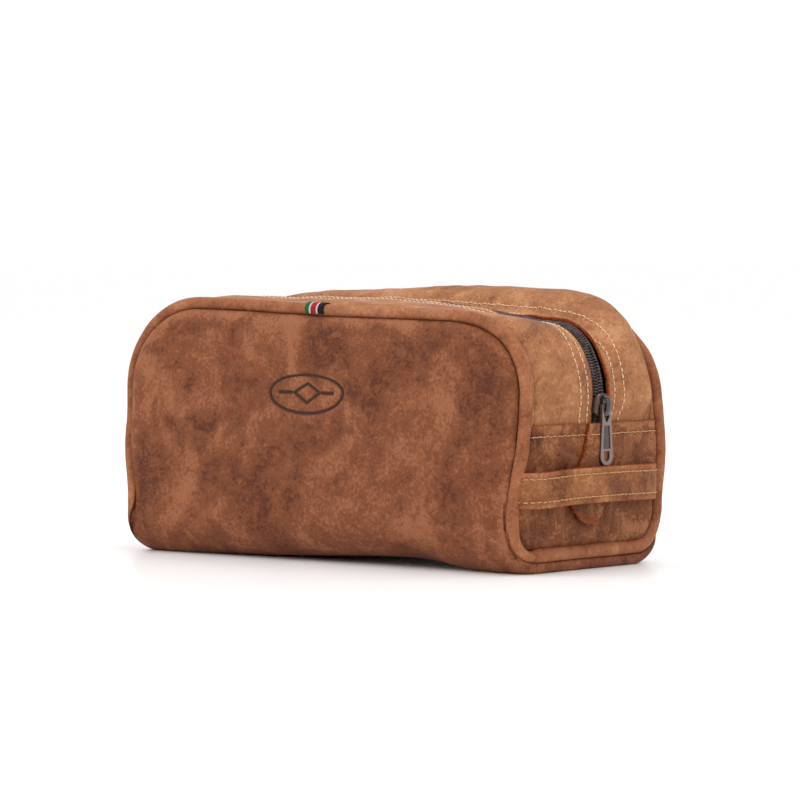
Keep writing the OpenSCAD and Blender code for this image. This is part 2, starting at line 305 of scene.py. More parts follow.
def fill_holes(work):
    rim = [e for e in work.edges if e.is_boundary]
    bmesh.ops.holes_fill(work, edges=rim, sides=0)


def face_outward(piece):
    edit_mesh(piece.data, turn_outward)
    return piece


def sweep(name, sections, material, marks=None):
    """A closed solid through rings of points [ring, point, xyz], capped at both ends."""
    rings, sides = sections.shape[:2]
    faces = [list(f) for f in grid_faces(rings, sides, ring=True)]
    faces.append(list(range(sides)))
    faces.append(list(range((rings - 1) * sides, rings * sides)))
    piece = make_piece(name, sections, faces, material, marks, flat=2)
    return face_outward(piece)


def tube(points, radius, sides, up):
    """A tube along a path: (points, faces). up is a direction that is never along it."""
    points = np.asarray(points, float)
    along = unit(np.gradient(points, axis=0))
    across = unit(np.cross(along, np.broadcast_to(up, points.shape)))
    lift = np.cross(across, along)
    angle = full_turn(sides)
    ring = across[:, None] * np.cos(angle)[:, None] + lift[:, None] * np.sin(angle)[:, None]
    return points[:, None] + radius * ring, capped_faces(len(points), sides)


def capped_faces(rings, sides):
    """Faces of a closed tube of rings, with a cap at each end."""
    faces = [list(f) for f in grid_faces(rings, sides, ring=True)]
    faces.append(list(range(sides))[::-1])
    faces.append(list(range((rings - 1) * sides, rings * sides)))
    return faces


def join_meshes(parts):
    """One list of points and one of faces from several (points, faces) parts."""
    points, faces, start = [], [], 0
    for part_points, part_faces in parts:
        flat = np.asarray(part_points, float).reshape(-1, 3)
        points.append(flat)
        faces.extend([[int(v) + start for v in f] for f in part_faces])
        start += len(flat)
    return np.concatenate(points), faces


def open_upper(piece):
    """Bakes a piece's placement into its points."""
    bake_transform(piece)


# ---- Materials ----
def rgb(red, green, blue):
    """Linear colour from 0-255 display values."""
    linear = [((v / 255 + 0.055) / 1.055) ** 2.4 if v > 10 else v / 3294.6
              for v in (red, green, blue)]
    return (*linear, 1.0)


class Paint:
    """A Principled material and short calls for its nodes."""

    def __init__(self, name):
        self.material = bpy.data.materials.new(name)
        self.material.use_nodes = True
        self.tree = self.material.node_tree
        self.shader = self.tree.nodes["Principled BSDF"]
        self.coords = self.node("ShaderNodeTexCoord").outputs["Object"]

    def node(self, kind, **settings):
        made = self.tree.nodes.new(kind)
        for key, value in settings.items():
            setattr(made, key, value)
        return made

    def wire(self, source, target):
        self.tree.links.new(source, target)

    def feed(self, socket, value):
        if isinstance(value, (int, float, tuple)):
            socket.default_value = value
        else:
            self.wire(value, socket)

    def stretched(self, scale):
        return self.texture("ShaderNodeMapping", "Vector", Scale=scale)

    def texture(self, kind, output, coords=None, settings=None, **inputs):
        made = self.node(kind, **(settings or {}))
        for key, value in inputs.items():
            made.inputs[key].default_value = value
        self.wire(coords or self.coords, made.inputs["Vector"])
        return made.outputs[output]

    def noise(self, scale, detail=4.0, rough=0.55, twist=0.0, coords=None):
        return self.texture("ShaderNodeTexNoise", "Fac", coords, Scale=scale, Detail=detail,
                            Roughness=rough, Distortion=twist)

    def wave(self, scale, direction, twist=0.0):
        settings = {"bands_direction": direction}
        return self.texture("ShaderNodeTexWave", "Fac", settings=settings, Scale=scale,
                            Distortion=twist)

    def cells(self, scale):
        return self.texture("ShaderNodeTexVoronoi", "Distance", Scale=scale)

    def ramp(self, value, stops, constant=False):
        made = self.node("ShaderNodeValToRGB")
        made.color_ramp.interpolation = "CONSTANT" if constant else "EASE"
        for i, (place, colour) in enumerate(stops):
            point = made.color_ramp.elements[i] if i < 2 else made.color_ramp.elements.new(place)
            point.position = place
            point.color = colour if isinstance(colour, tuple) else (colour,) * 3 + (1,)
        self.wire(value, made.inputs["Fac"])
        return made.outputs["Color"]

    def mix(self, share, first, second):
        made = self.node("ShaderNodeMix", data_type="RGBA")
        self.feed(made.inputs[0], share)
        self.feed(made.inputs[6], first)
        self.feed(made.inputs[7], second)
        return made.outputs[2]

    def cover(self, base, over, value, *stops):
        """Lays a colour over another where the stops make the value high."""
        return self.mix(self.ramp(value, stops), base, over)

    def sum(self, first, second, how="ADD"):
        made = self.node("ShaderNodeMath", operation=how)
        self.feed(made.inputs[0], first)
        self.feed(made.inputs[1], second)
        return made.outputs[0]

    def blend_values(self, *pairs):
        """Weighted sum of several values."""
        total = None
        for value, weight in pairs:
            part = self.sum(value, float(weight), "MULTIPLY")
            total = part if total is None else self.sum(total, part)
        return total

    def mark(self, name):
        return self.node("ShaderNodeAttribute", attribute_name=name).outputs["Fac"]

    def bump(self, height, distance, strength=1.0, under=None):
        made = self.node("ShaderNodeBump")
        made.inputs["Distance"].default_value = distance * TO_METRES
        made.inputs["Strength"].default_value = strength
        self.wire(height, made.inputs["Height"])
        if under is not None:
            self.wire(under, made.inputs["Normal"])
        return made.outputs["Normal"]

    def finish(self, colour, roughness, normal=None, **settings):
        self.feed(self.shader.inputs["Base Color"], colour)
        self.feed(self.shader.inputs["Roughness"], roughness)
        if normal is not None:
            self.wire(normal, self.shader.inputs["Normal"])
        for key, value in settings.items():
            self.shader.inputs[key.replace("_", " ")].default_value = value
        return self.material


def leather(name, dark, middle, light, seed=0.0, streak=0.0):
    """Waxed pull-up leather: cloudy tones, fine grain, scuffs, and a fibrous raw edge.
    The marks at its points are tone, which lightens or darkens and on most pieces is painted
    highlight and shade from their shape, raw for a bare edge, and pressed for a sunk mark."""
    paint = Paint(f"leather_{name}")
    dark, middle, light = rgb(*dark), rgb(*middle), rgb(*light)
    place = (seed, seed * 0.7, -seed)
    paint.coords = paint.texture("ShaderNodeMapping", "Vector", Location=place)
    blotch = paint.noise(20, 4, 0.5, 1.6)
    patch = paint.noise(75, 5, 0.6, 1.2)
    speck = paint.noise(620, 4, 0.7)
    tone = paint.blend_values((blotch, 0.40), (patch, 0.26), (speck, 0.34))
    # The tone mark lightens or darkens; on most pieces it is painted highlight and shade from their
    # shape
    tone = paint.sum(tone, paint.sum(paint.mark("tone"), 0.06, "MULTIPLY"))
    colour = paint.ramp(tone, ((0.41, dark), (0.5, middle), (0.6, light)))
    scuff = paint.noise(30, 6, 0.66, 2.2, paint.stretched((0.8, 0.6, 1.2)))
    colour = paint.cover(colour, light, scuff, (0.53, 0.0), (0.72, 0.46))
    if streak:
        line = paint.noise(95, 3, 0.6, 0.6, paint.stretched((1, 1, 0.16)))
        colour = paint.cover(colour, light, line, (0.55, 0.0), (0.72, streak))
    smoke = paint.noise(30, 5, 0.62, 2.0)
    colour = paint.cover(colour, dark, smoke, (0.49, 0.0), (0.7, 0.4))
    pores = paint.cells(1050)
    colour = paint.cover(colour, dark, pores, (0.05, 0.55), (0.34, 0.0))
    raw = paint.mark("raw")
    fibre = paint.noise(900, 5, 0.7)
    flesh = paint.ramp(fibre, ((0.32, rgb(84, 34, 16)), (0.6, rgb(150, 72, 36))))
    colour = paint.mix(raw, colour, flesh)
    colour = paint.mix(paint.mark("pressed"), colour, rgb(62, 42, 34))
    grain = paint.blend_values((speck, 0.6), (pores, 0.35), (paint.noise(1500, 3), 0.35))
    normal = paint.bump(patch, 0.5, 0.5)
    normal = paint.bump(grain, 0.2, 0.9, normal)
    rough = paint.ramp(tone, ((0.4, 0.52), (0.6, 0.68)))
    rough = paint.mix(raw, rough, (0.95, 0.95, 0.95, 1))
    return paint.finish(colour, rough, normal, Specular_IOR_Level=0.14)


def thread_material(name, dark, light):
    """Twisted sewing thread."""
    paint = Paint(f"thread_{name}")
    fibre = paint.noise(700, 3, 0.6, 0.5, paint.stretched((2, 2, 1)))
    colour = paint.ramp(fibre, ((0.3, rgb(*dark)), (0.6, rgb(*light))))
    twist = paint.bump(paint.wave(620, "DIAGONAL"), 0.12)
    return paint.finish(colour, 0.72, twist, Specular_IOR_Level=0.2)


def fabric(name, dark, light, scale):
    """Woven cloth, with fine ribs along each of the three axes."""
    paint = Paint(name)
    ribs = [paint.wave(scale, direction, 0.4) for direction in ("X", "Z", "Y")]
    height = paint.sum(paint.sum(ribs[0], ribs[1], "MULTIPLY"), ribs[2], "MULTIPLY")
    mottle = paint.noise(60, 4)
    share = paint.blend_values((height, 0.6), (mottle, 0.5))
    colour = paint.ramp(share, ((0.2, rgb(*dark)), (0.7, rgb(*light))))
    return paint.finish(colour, 0.9, paint.bump(height, 0.25), Specular_IOR_Level=0.1)


def ribbon_material():
    """Five woven stripes along X."""
    paint = Paint("ribbon_stripes")
    width = (ribbon_high[0] - ribbon_low[0]) * TO_METRES
    split = paint.node("ShaderNodeSeparateXYZ")
    paint.wire(paint.coords, split.inputs[0])
    place = paint.sum(split.outputs[0], float(-ribbon_low[0] * TO_METRES))
    place = paint.sum(place, float(width), "DIVIDE")
    stripes = ((0.0, rgb(18, 100, 44)), (0.22, rgb(208, 204, 200)), (0.31, rgb(176, 22, 30)),
               (0.61, rgb(208, 204, 200)), (0.70, rgb(10, 10, 12)))
    colour = paint.ramp(place, stripes, constant=True)
    fuzz = paint.noise(1400, 3)
    colour = paint.cover(colour, rgb(60, 50, 48), fuzz, (0.45, 0.0), (0.75, 0.25))
    ribs = paint.bump(paint.wave(520, "X", 1.5), 0.3)
    return paint.finish(colour, 0.7, ribs, Specular_IOR_Level=0.2)


def coil_material():
    """Dark nylon with a faint shine."""
    paint = Paint("zip_coil_nylon")
    tone = paint.noise(300, 3)
    colour = paint.ramp(tone, ((0.35, rgb(44, 34, 33)), (0.65, rgb(94, 76, 72))))
    return paint.finish(colour, 0.36, paint.bump(tone, 0.05), Specular_IOR_Level=0.4)


def metal_material():
    """Brown-black plated metal, with a painted highlight where its rim highlight mark is set."""
    paint = Paint("zip_metal_plated")
    haze = paint.noise(160, 5, 0.6)
    colour = paint.ramp(haze, ((0.35, rgb(56, 41, 38)), (0.65, rgb(82, 63, 58))))
    # Painted highlight: lighter colour on the pull tab's raised rim
    colour = paint.mix(paint.mark("rim_highlight"), colour, rgb(150, 128, 122))
    rough = paint.ramp(paint.noise(420, 4), ((0.35, 0.18), (0.7, 0.34)))
    dents = paint.noise(900, 3)
    return paint.finish(colour, rough, paint.bump(dents, 0.03), Metallic=0.55,
                        Specular_IOR_Level=0.6, Coat_Weight=0.35, Coat_Roughness=0.15)


def make_materials():
    """Every material by name. Leathers have a dark, a middle and a light colour."""
    return {
        "body": leather("body", (86, 44, 26), (119, 67, 41), (150, 94, 65)),
        # Painted light: the strips are the body leather painted lighter for the light falling on
        # the top
        "strips": leather("strips", (120, 73, 45), (154, 101, 65), (182, 130, 92), 0.31),
        # The piping is partly its own more orange colour and partly painted lighter for the
        # highlight along the tube
        "piping": leather("piping", (122, 70, 44), (147, 90, 59), (170, 114, 81), 0.83),
        "strap": leather("strap", (104, 58, 33), (138, 85, 51), (168, 115, 77), 0.57),
        "end": leather("ends", (74, 36, 20), (113, 63, 35), (152, 100, 66), 1.37, 0.4),
        "thread": thread_material("cream", (196, 150, 118), (236, 204, 174)),
        "tan_thread": thread_material("tan", (150, 104, 66), (200, 156, 112)),
        "tape": fabric("tape_woven", (12, 10, 10), (34, 28, 28), 900),
        "coil": coil_material(),
        "metal": metal_material(),
        "ribbon": ribbon_material(),
        "lining": fabric("lining_cotton", (92, 76, 58), (142, 122, 96), 420),
        "cord": fabric("filler_cotton", (150, 138, 116), (196, 186, 164), 500),
    }


# ---- Body leather ----
SKIN_T = 1.6
LINING_T = 0.5
LINING_SPACE = 0.15
PIPE_HOLD = PIPE_R - 0.15
FLAT_EDGE = 36.0
LINING_R = 41.0
ROLL_STEPS = 14
WALL_SWELL = 1.2
BROAD_DENTS = 0.8
FINE_DENTS = 0.3
MARK_X = -5.0
MARK_Z = 86.0
MARK_W = 24.0
MARK_H = 10.5
MARK_DEPTH = 0.75
MARK_MARGIN = 2.5
MARK_DIAMOND_W = 8.5
MARK_DIAMOND_H = 5.2
MARK_BAR_X = 14.0
MARK_BAR_HALF = 3.4
FINE_STEP = 0.5

# Against height: how far round the piping the leather holds it, in degrees, how far its
# edge bellies past the piping, and where its roll begins
LEAN = ((8, 102), (17, 70), (27, 34), (46, 30), (76, 32), (100, 20), (134, 14))
BELLY = ((8, 2.3), (20, 1.4), (60, 0.9), (100, 0.7), (134, 0.5))
ROLL_START = ((8, 46.4), (40, 43.5), (90, 42.0), (134, 42.4))


def leather_section(t, steps, side):
    """r and d of the edge roll at t, from its contact with the piping to the flat wall."""
    z = skin(t, CORNER_R, 0, -1)[..., 2]
    lean = np.radians(curve(LEAN, z))
    depth = pipe_depth(t, side)
    r0 = CORNER_R - PIPE_HOLD * np.cos(lean)
    d0 = depth - PIPE_HOLD * np.sin(lean)
    points = ((r0, d0), (r0 + curve(BELLY, z), d0 * 0.34), (curve(ROLL_START, z), 0 * z),
              (FLAT_EDGE + 0 * z, 0 * z))
    u = np.linspace(0, 1, steps)
    weights = ((1 - u) ** 3, 3 * u * (1 - u) ** 2, 3 * u * u * (1 - u), u ** 3)
    r = sum(p[0][:, None] * w for p, w in zip(points, weights))
    d = sum(p[1][:, None] * w for p, w in zip(points, weights))
    return r, d


def mark_strength(x, z):
    """1 inside the pressed mark, an oval ring around a diamond, and 0 outside."""
    dx, dz = x - MARK_X, z - MARK_Z
    size = np.sqrt((dx / MARK_W) ** 2 + (dz / MARK_H) ** 2) + 1e-9
    slope = np.sqrt(dx ** 2 / MARK_W ** 4 + dz ** 2 / MARK_H ** 4) / size + 1e-9
    ring = np.abs(size - 1) / slope
    diamond = (np.abs(dx) / MARK_DIAMOND_W + np.abs(dz) / MARK_DIAMOND_H - 1) * 4.4
    bars = np.maximum(np.abs(np.abs(dx) - MARK_BAR_X) - MARK_BAR_HALF, np.abs(dz) - 0.1)
    lines = np.minimum(np.minimum(ring, np.abs(diamond)), bars)
    return 1 - ease(0.55, 1.15, lines)


def wall_puff(points, side):
    """Outward swell of the body leather, with soft dents."""
    x, _, z = np.moveaxis(points, -1, 0)
    swell = WALL_SWELL * bump_at(46, 34, z) * (1 - 0.4 * bump_at(0, 60, x))
    dents = BROAD_DENTS * cloud(points, 62, seed=3.1 * side)
    dents = dents + FINE_DENTS * cloud(points, 21, seed=7.7)
    return (swell + dents) * ease(4, 24, z)


def edge_fade(r, t):
    """0 at the edges of the body leather and 1 well inside."""
    return ease(44, 26, r) * ease(T_END, T_END - 26, np.abs(t))


def leather_blocks():
    """Pairs of t and r values for the wall, its corners and its ends, fine at the mark."""
    fine_x = np.arange(MARK_X - MARK_W - MARK_MARGIN, MARK_X + MARK_W + MARK_MARGIN + 0.1,
                       FINE_STEP)
    xs = np.concatenate((np.linspace(-ARC_X, fine_x[0], 26)[:-1], fine_x,
                         np.linspace(fine_x[-1], ARC_X, 30)[1:]))
    xs = np.insert(xs, np.searchsorted(xs, 0.01), 0.02)
    inner_r = np.concatenate((np.linspace(FLAT_EDGE, 13.0, 13)[1:],
                              np.arange(12.5, -0.1, -FINE_STEP)))
    upper_t = np.linspace(ARC_X, SIDE_START, 40)
    lower_t = SIDE_START + np.concatenate((np.arange(0, 12.5, FINE_STEP), np.linspace(
        12.5, T_END - SIDE_START, 60)))
    right = np.concatenate((inner_r, (xs[(xs < ARC_X) & (xs > 0)] - ARC_X)[::-1]))
    left = np.concatenate((inner_r, (-xs[(xs > -ARC_X) & (xs < 0.1)] - ARC_X)))
    return [(xs, inner_r), (upper_t, inner_r), (-upper_t, inner_r), (lower_t, right),
            (-lower_t, left)]


def leather_grid(side, lined=False):
    """Outer surface of one side of the body leather: (points, faces, marks), where the marks are
    pressed, tone and how bare the inner face is. Tone is lighter at the wall's shoulder, partly the
    pull-up of the bent leather and partly painted highlight, and darker where the leather meets the
    piping, painted shade of that crease. The lining stops short of the piping, so for it the edge
    roll is left out."""
    parts, values = [], []
    for t, rs in leather_blocks():
        roll_r, roll_d = leather_section(t, ROLL_STEPS, side)
        if lined:
            roll_r = np.linspace(LINING_R, FLAT_EDGE, ROLL_STEPS) + 0 * roll_r
            roll_d = 0 * roll_d
        r = np.concatenate((roll_r, np.broadcast_to(rs, (len(t), len(rs)))), axis=1)
        d = np.concatenate((roll_d, np.zeros((len(t), len(rs)))), axis=1)
        tt = np.broadcast_to(t[:, None], r.shape)
        ideal = skin(tt, r, d, side)
        d = d - wall_puff(ideal, side) * edge_fade(r, tt)
        pressed = np.zeros(r.shape)
        if side < 0:
            pressed = mark_strength(ideal[..., 0], ideal[..., 2]) * (d < 6)
            pressed = pressed * (ideal[..., 1] < -HALF_DEPTH + 5)
        d = d + MARK_DEPTH * pressed
        from_piping = np.abs(d - roll_d[:, :1]) + np.abs(r - roll_r[:, :1])
        # Lighter at the shoulder, partly pull-up of the bent leather and partly painted highlight;
        # darker against the piping, painted shade in the crease
        tone = 0.9 * bump_at(43.0, 3.0, r) * (d < 3.5) - 1.6 * ease(1.6, 0, from_piping)
        parts.append((slump(skin(tt, r, d, side)), grid_faces(*r.shape)))
        hidden = ease(FLAT_EDGE + 3, FLAT_EDGE, r)
        values.append(xyz(pressed, tone, hidden).reshape(-1, 3))
    points, faces = join_meshes(parts)
    return points, faces, np.concatenate(values)


def weld(points, faces, values):
    """Merges equal points, and drops faces that shrink to nothing."""
    keys = np.round(points * 500).astype(np.int64)
    _, first, where = np.unique(keys, axis=0, return_index=True, return_inverse=True)
    where = np.ravel(where)
    kept = []
    for face in faces:
        corners = list(dict.fromkeys(int(where[v]) for v in face))
        if len(corners) > 2:
            kept.append(corners)
    return points[first], kept, values[first]


def outward_sheet(points, faces, side):
    """Turns the faces of an open sheet the same way, outward, and gives its point normals."""
    mesh = bpy.data.meshes.new("sheet")
    mesh.from_pydata(points.tolist(), [], faces)
    edit_mesh(mesh, turn_outward)
    normals = np.zeros(len(points) * 3, np.float32)
    mesh.vertices.foreach_get("normal", normals)
    normals = normals.reshape(-1, 3).astype(float)
    faces = [list(p.vertices) for p in mesh.polygons]
    bpy.data.meshes.remove(mesh)
    if np.median(normals[:, 1]) * side < 0:
        return [f[::-1] for f in faces], -normals
    return faces, normals


def thick_sheet(points, faces, normals, above, below):
    """A closed sheet between two heights above a surface."""
    count = len(points)
    shell = np.concatenate((points + normals * above, points + normals * below))
    all_faces = [list(f) for f in faces]
    all_faces += [[v + count for v in f[::-1]] for f in faces]
    edges = {}
    for face in faces:
        for a, b in zip(face, face[1:] + face[:1]):
            edges[(a, b)] = True
    rim = [(a, b) for a, b in edges if (b, a) not in edges]
    all_faces += [[b, a, a + count, b + count] for a, b in rim]
    return shell, all_faces, len(rim)


def body_sheet(side, above, below, lined=False):
    """Points, faces, count of rim faces and marks of a sheet along the wall's face."""
    points, faces, values = weld(*leather_grid(side, lined))
    faces, normals = outward_sheet(points, faces, side)
    return (*thick_sheet(points, faces, normals, above, below), values.T)


def build_body(side, paints):
    """Body leather of one side and the lining behind it."""
    name = SIDE_NAMES[side]
    points, faces, flat, (pressed, tone, bare) = body_sheet(side, 0.0, -SKIN_T)
    raw = np.concatenate((0 * bare, bare))
    marks = {"pressed": np.tile(pressed, 2), "tone": np.tile(tone, 2), "raw": raw}
    walls = make_piece(f"{name}_body_leather", points, faces, paints["body"],
                       marks, flat=flat)
    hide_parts(f"{name}_wall", *(["body_panel_lower"] if side < 0 else []))
    open_upper(face_outward(walls))
    low = -SKIN_T - LINING_SPACE
    points, faces, flat, _ = body_sheet(side, low, low - LINING_T, lined=True)
    lining = make_piece(f"{name}_body_lining", points, faces, paints["lining"],
                        flat=flat)
    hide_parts(f"{name}_wall_lining", *(["lining_lower"] if side < 0 else []))
    open_upper(face_outward(lining))


# ---- Piping ----
SLEEVE_T = 0.9
SLEEVE_SIDES = 22
FILLER_SIDES = 10


def build_piping(side, paints):
    """Sleeve and filler cord of one side, from the bottom's middle over the top."""
    name = SIDE_NAMES[side]
    end = "right_end" if side < 0 else "left_end"
    t = np.linspace(-T_END, T_END, 300)
    centre = skin(t, CORNER_R, pipe_depth(t, side), side)
    lumps = 0.12 * cloud(centre, 17, seed=2.0 * side) + 0.05 * cloud(centre, 5)
    lumps = lumps * ease(T_END, T_END - 12, np.abs(t))
    for label, radius, sides, material, slot in (
        ("piping_sleeve", PIPE_R, SLEEVE_SIDES, "piping", "piping_leather"),
        ("piping_filler", PIPE_R - SLEEVE_T, FILLER_SIDES, "cord", "filler_cord"),
    ):
        angle = full_turn(sides)
        size = (radius + lumps)[:, None]
        r = CORNER_R + size * np.cos(angle)
        d = pipe_depth(t, side)[:, None] - size * np.sin(angle)
        rings = slump(skin(t[:, None], r, d, side))
        # Painted shade on the side of the tube turned in towards the bag, away from the light
        tone = 0.5 * np.cos(angle - math.pi / 4) - 0.5
        piece = sweep(f"{name}_{label}", rings, paints[material], {"tone": tone})
        cad = "piping" if label == "piping_sleeve" else "piping_cord"
        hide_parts(f"{name}_{cad}", f"{end}_{cad}")
        open_upper(piece)


# ---- Top strips ----
STRIP_REACH = 2.9
STRIP_T = 2.0
STRIP_LOW = SEAM_Z - 14
STITCH_ROWS = (4.3, 10.4)
STITCH_PITCH = 3.0
STITCH_ALONG = (-1.30, -1.18, -0.8, -0.3, 0.3, 0.8, 1.18, 1.30)
STITCH_UP = (-0.5, -0.15, 0.12, 0.22, 0.22, 0.12, -0.15, -0.5)
STITCH_R = (0.17, 0.26, 0.32, 0.34, 0.34, 0.32, 0.26, 0.17)
# Half the distance over which a row's direction is measured
NEAR = 0.4
TUCK_T = SIDE_START + ARC_Z - STRIP_LOW

# Profile of the ridge that lies beside the piping, against the distance from its centre
RIDGE = ((2.8, -2.2), (3.7, 0.0), (4.9, 0.75), (6.4, -0.7), (8.8, 0.1), (12, 0.2))


def front_strip_shape(x, w, edge, on_top):
    """Heights of the front strip's crown, its long fold and its curl at the zip."""
    crown = 0.9 + on_top * (1.6 - 1.5 * bump_at(-35, 36, x) - 1.2 * bump_at(60, 30, x))
    fold = 1.9 * bump_at(39.5, 4.5, w) * on_top * bump_at(14, 75, x)
    curl = (1.5 * ease(84, 62, x) - 0.4) * ease(edge + 10, edge, w) * on_top
    return crown, fold, curl


def back_strip_shape(x, w, edge, on_top):
    """Heights of the back strip's crown, of no fold, and of its curl at the zip."""
    crown = 3.2 + 5.2 * on_top * bump_at(44, 84, x) + 5.0 * bump_at(110, 22, x)
    curl = 1.6 * ease(edge + 4.5, edge, w) * ease(62, 92, x)
    curl = curl - 2.0 * ease(edge + 14, edge + 9, w) * ease(86, 58, x) * on_top
    return crown, 0.0, curl


def strip_radius(t, w, side):
    """Distance of a strip's outer face from the corner's centre. w is the distance from
    the bag's middle plane."""
    t, w = np.broadcast_arrays(np.asarray(t, float), np.asarray(w, float))
    edge = EDGE_W[side]
    pipe_w = HALF_DEPTH - pipe_depth(t, side)
    x, _, high = np.moveaxis(skin(t, CORNER_R, 0, 1), -1, 0)
    on_top = ease(96, 130, high)
    flat_w = edge + (9.0 * on_top if side > 0 else 0.0)
    across = np.clip((pipe_w - 6.2 - w) / (pipe_w - 6.2 - flat_w), 0, 1)
    arch = np.sin(math.pi * across ** (0.9 if side < 0 else 0.66))
    arch = np.clip(arch, 0, 1) ** (0.85 if side < 0 else 0.6)
    above_seam = ease(SEAM_Z + 1, SEAM_Z + 12, high)
    folds = front_strip_shape if side < 0 else back_strip_shape
    crown, fold, curl = folds(x, w, edge, on_top)
    bulge = 1.0 * bump_at(edge - 4, 22, w) * bump_at(96, 16, high)
    base = skin(t, STRIP_R, HALF_DEPTH - w, side)
    wrinkle = (0.7 - 0.15 * side) * cloud(base, 26, seed=4.0 + side)
    wrinkle = wrinkle + 0.2 * cloud(base, 9, seed=1.0)
    rows = sum(0.3 * bump_at(edge + row, 0.8, w) for row in STITCH_ROWS)
    ridge = curve(RIDGE, pipe_w - w)
    shape = crown * arch + fold + curl + bulge + wrinkle * (0.3 + 0.7 * on_top) * (across > 0)
    return STRIP_R - 0.15 + ridge + shape * above_seam - rows


def strip_point(t, w, side, lift=0.0):
    return slump(skin(t, strip_radius(t, w, side) + lift, HALF_DEPTH - w, side))


def build_strip(side, paints):
    """Leather strip between the piping and the zip, raw at its edge along the zip."""
    name = SIDE_NAMES[side]
    edge = EDGE_W[side]
    t = np.linspace(-TUCK_T, TUCK_T, 260)
    outer = PIPE_Y - STRIP_REACH
    outer_w = np.concatenate((np.linspace(outer, outer - 5, 12),
                              np.linspace(outer - 5.8, edge + 12, 22),
                              np.linspace(edge + 11.4, edge + 0.5, 22)))
    edge_steps = ((0.12, -0.18), (-0.05, -0.6), (0.0, -1.3), (0.15, -1.8))
    inner_w = np.linspace(edge + 0.6, outer, 26)
    w = np.concatenate((outer_w, [edge + e[0] for e in edge_steps], inner_w))
    drop = np.concatenate((0 * outer_w, [e[1] for e in edge_steps], 0 * inner_w - STRIP_T))
    fuzz = np.concatenate((0 * outer_w, (0.5, 1, 1, 0.5), 0 * inner_w))
    tt, ww = np.meshgrid(t, w, indexing="ij")
    jitter = 0.22 * cloud(skin(tt, STRIP_R + drop, HALF_DEPTH - ww, side), 1.6) * fuzz
    high = skin(tt, STRIP_R, 0, 1)[..., 2]
    spread = WALL_PIPE_DEPTH - pipe_depth(tt, side) - 2.0 * ease(SEAM_Z + 3, SEAM_Z - 3, high)
    stretch = spread * (ww - edge) / (outer - edge)
    sections = strip_point(tt, ww + stretch + jitter, side, drop)
    raw = np.concatenate((0 * outer_w, (0.8, 1, 1, 1), 0 * inner_w + 1))
    raw[len(outer_w) - 1] = 0.25
    # Painted highlight on the ridge beside the piping and painted shade in the groove next to it
    tone = 0.7 * bump_at(PIPE_Y - 4.9, 0.9, w) - 1.6 * bump_at(PIPE_Y - 6.4, 0.8, w)
    strip = sweep(f"{name}_top_strip_leather", sections, paints["strips"],
                  {"raw": raw, "tone": tone})
    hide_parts(f"{name}_top_strip")
    open_upper(strip)


def stitch_shape():
    """One stitch: its rings, as along, across and up, and its faces."""
    along, up, size = np.array((STITCH_ALONG, STITCH_UP, STITCH_R))[:, :, None]
    angle = full_turn(7)
    rings = xyz(along, size * np.cos(angle), up + size * np.sin(angle))
    return rings, capped_faces(*rings.shape[:2])


def stitch_parts(centres, ahead, outward):
    """Stitches at each centre, lying along ahead and facing outward."""
    rings, faces = stitch_shape()
    ahead = unit(ahead)
    across = unit(np.cross(outward, ahead))
    up = np.cross(ahead, across)
    parts = []
    for i, (c, a, b, n) in enumerate(zip(centres, ahead, across, up)):
        skew = 0.10 * math.sin(i * 2.4)
        local = rings[..., :1] * (a + skew * b) + rings[..., 1:2] * b + rings[..., 2:] * n
        parts.append((c + local, faces))
    return parts


def build_strip_stitching(side, paints):
    """Two rows of stitches beside the zip."""
    name = SIDE_NAMES[side]
    reach = SIDE_START + ARC_Z - SEAM_Z - 1.5
    parts = []
    for row in STITCH_ROWS:
        t = np.arange(-reach, reach, STITCH_PITCH)
        w = EDGE_W[side] + row + 0.12 * np.sin(t * 0.7)
        centre = strip_point(t, w, side, 0.12)
        ahead = strip_point(t + NEAR, w, side) - strip_point(t - NEAR, w, side)
        outward = strip_point(t, w, side, 1.0) - strip_point(t, w, side)
        parts += stitch_parts(centre, ahead, outward)
    points, faces = join_meshes(parts)
    piece = make_piece(f"{name}_zip_thread", points, faces, paints["thread"])
    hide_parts(f"{name}_zip_stitching")
    open_upper(piece)


# ---- Zip ----
COIL_PATH_R = STRIP_R - 1.9
COIL_RAISE = 1.0
COIL_PITCH = 1.5
COIL_Y = 2.0
COIL_HALF_W = 1.75
COIL_HALF_H = 1.0
COIL_WIRE_R = 0.4
COIL_THREAD_R = 0.34
# Nearly along Y, but never quite along the coil's wire
ALONG_Y = (0.02, 1.0, 0.03)
TAPE_OUT = 14.0
ZIP_LOW = SEAM_Z - 2.5
ZIP_REACH = SIDE_START + ARC_Z - ZIP_LOW


def zip_depth(across, side):
    """Depth below the wall's face of a place at some distance from the zip's middle."""
    return HALF_DEPTH - across - side * ZIP_Y


def build_tape(side, paints):
    """Woven tape of one side, thinner under the coil."""
    name = SIDE_NAMES[side]
    t = np.linspace(-ZIP_REACH, ZIP_REACH, 200)
    q = np.concatenate((np.linspace(0.9, TAPE_OUT, 12), np.linspace(TAPE_OUT, 0.9, 12)))
    drop = np.repeat((0.0, -0.5), 12)
    path_r = COIL_PATH_R - 1.0 + 0.9 * ease(6.5, 4.0, q) + drop
    sections = slump(skin(t[:, None], path_r, zip_depth(q, side), side))
    tape = sweep(f"{name}_tape_woven", sections, paints["tape"])
    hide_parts(f"{name}_zip_tape")
    open_upper(tape)


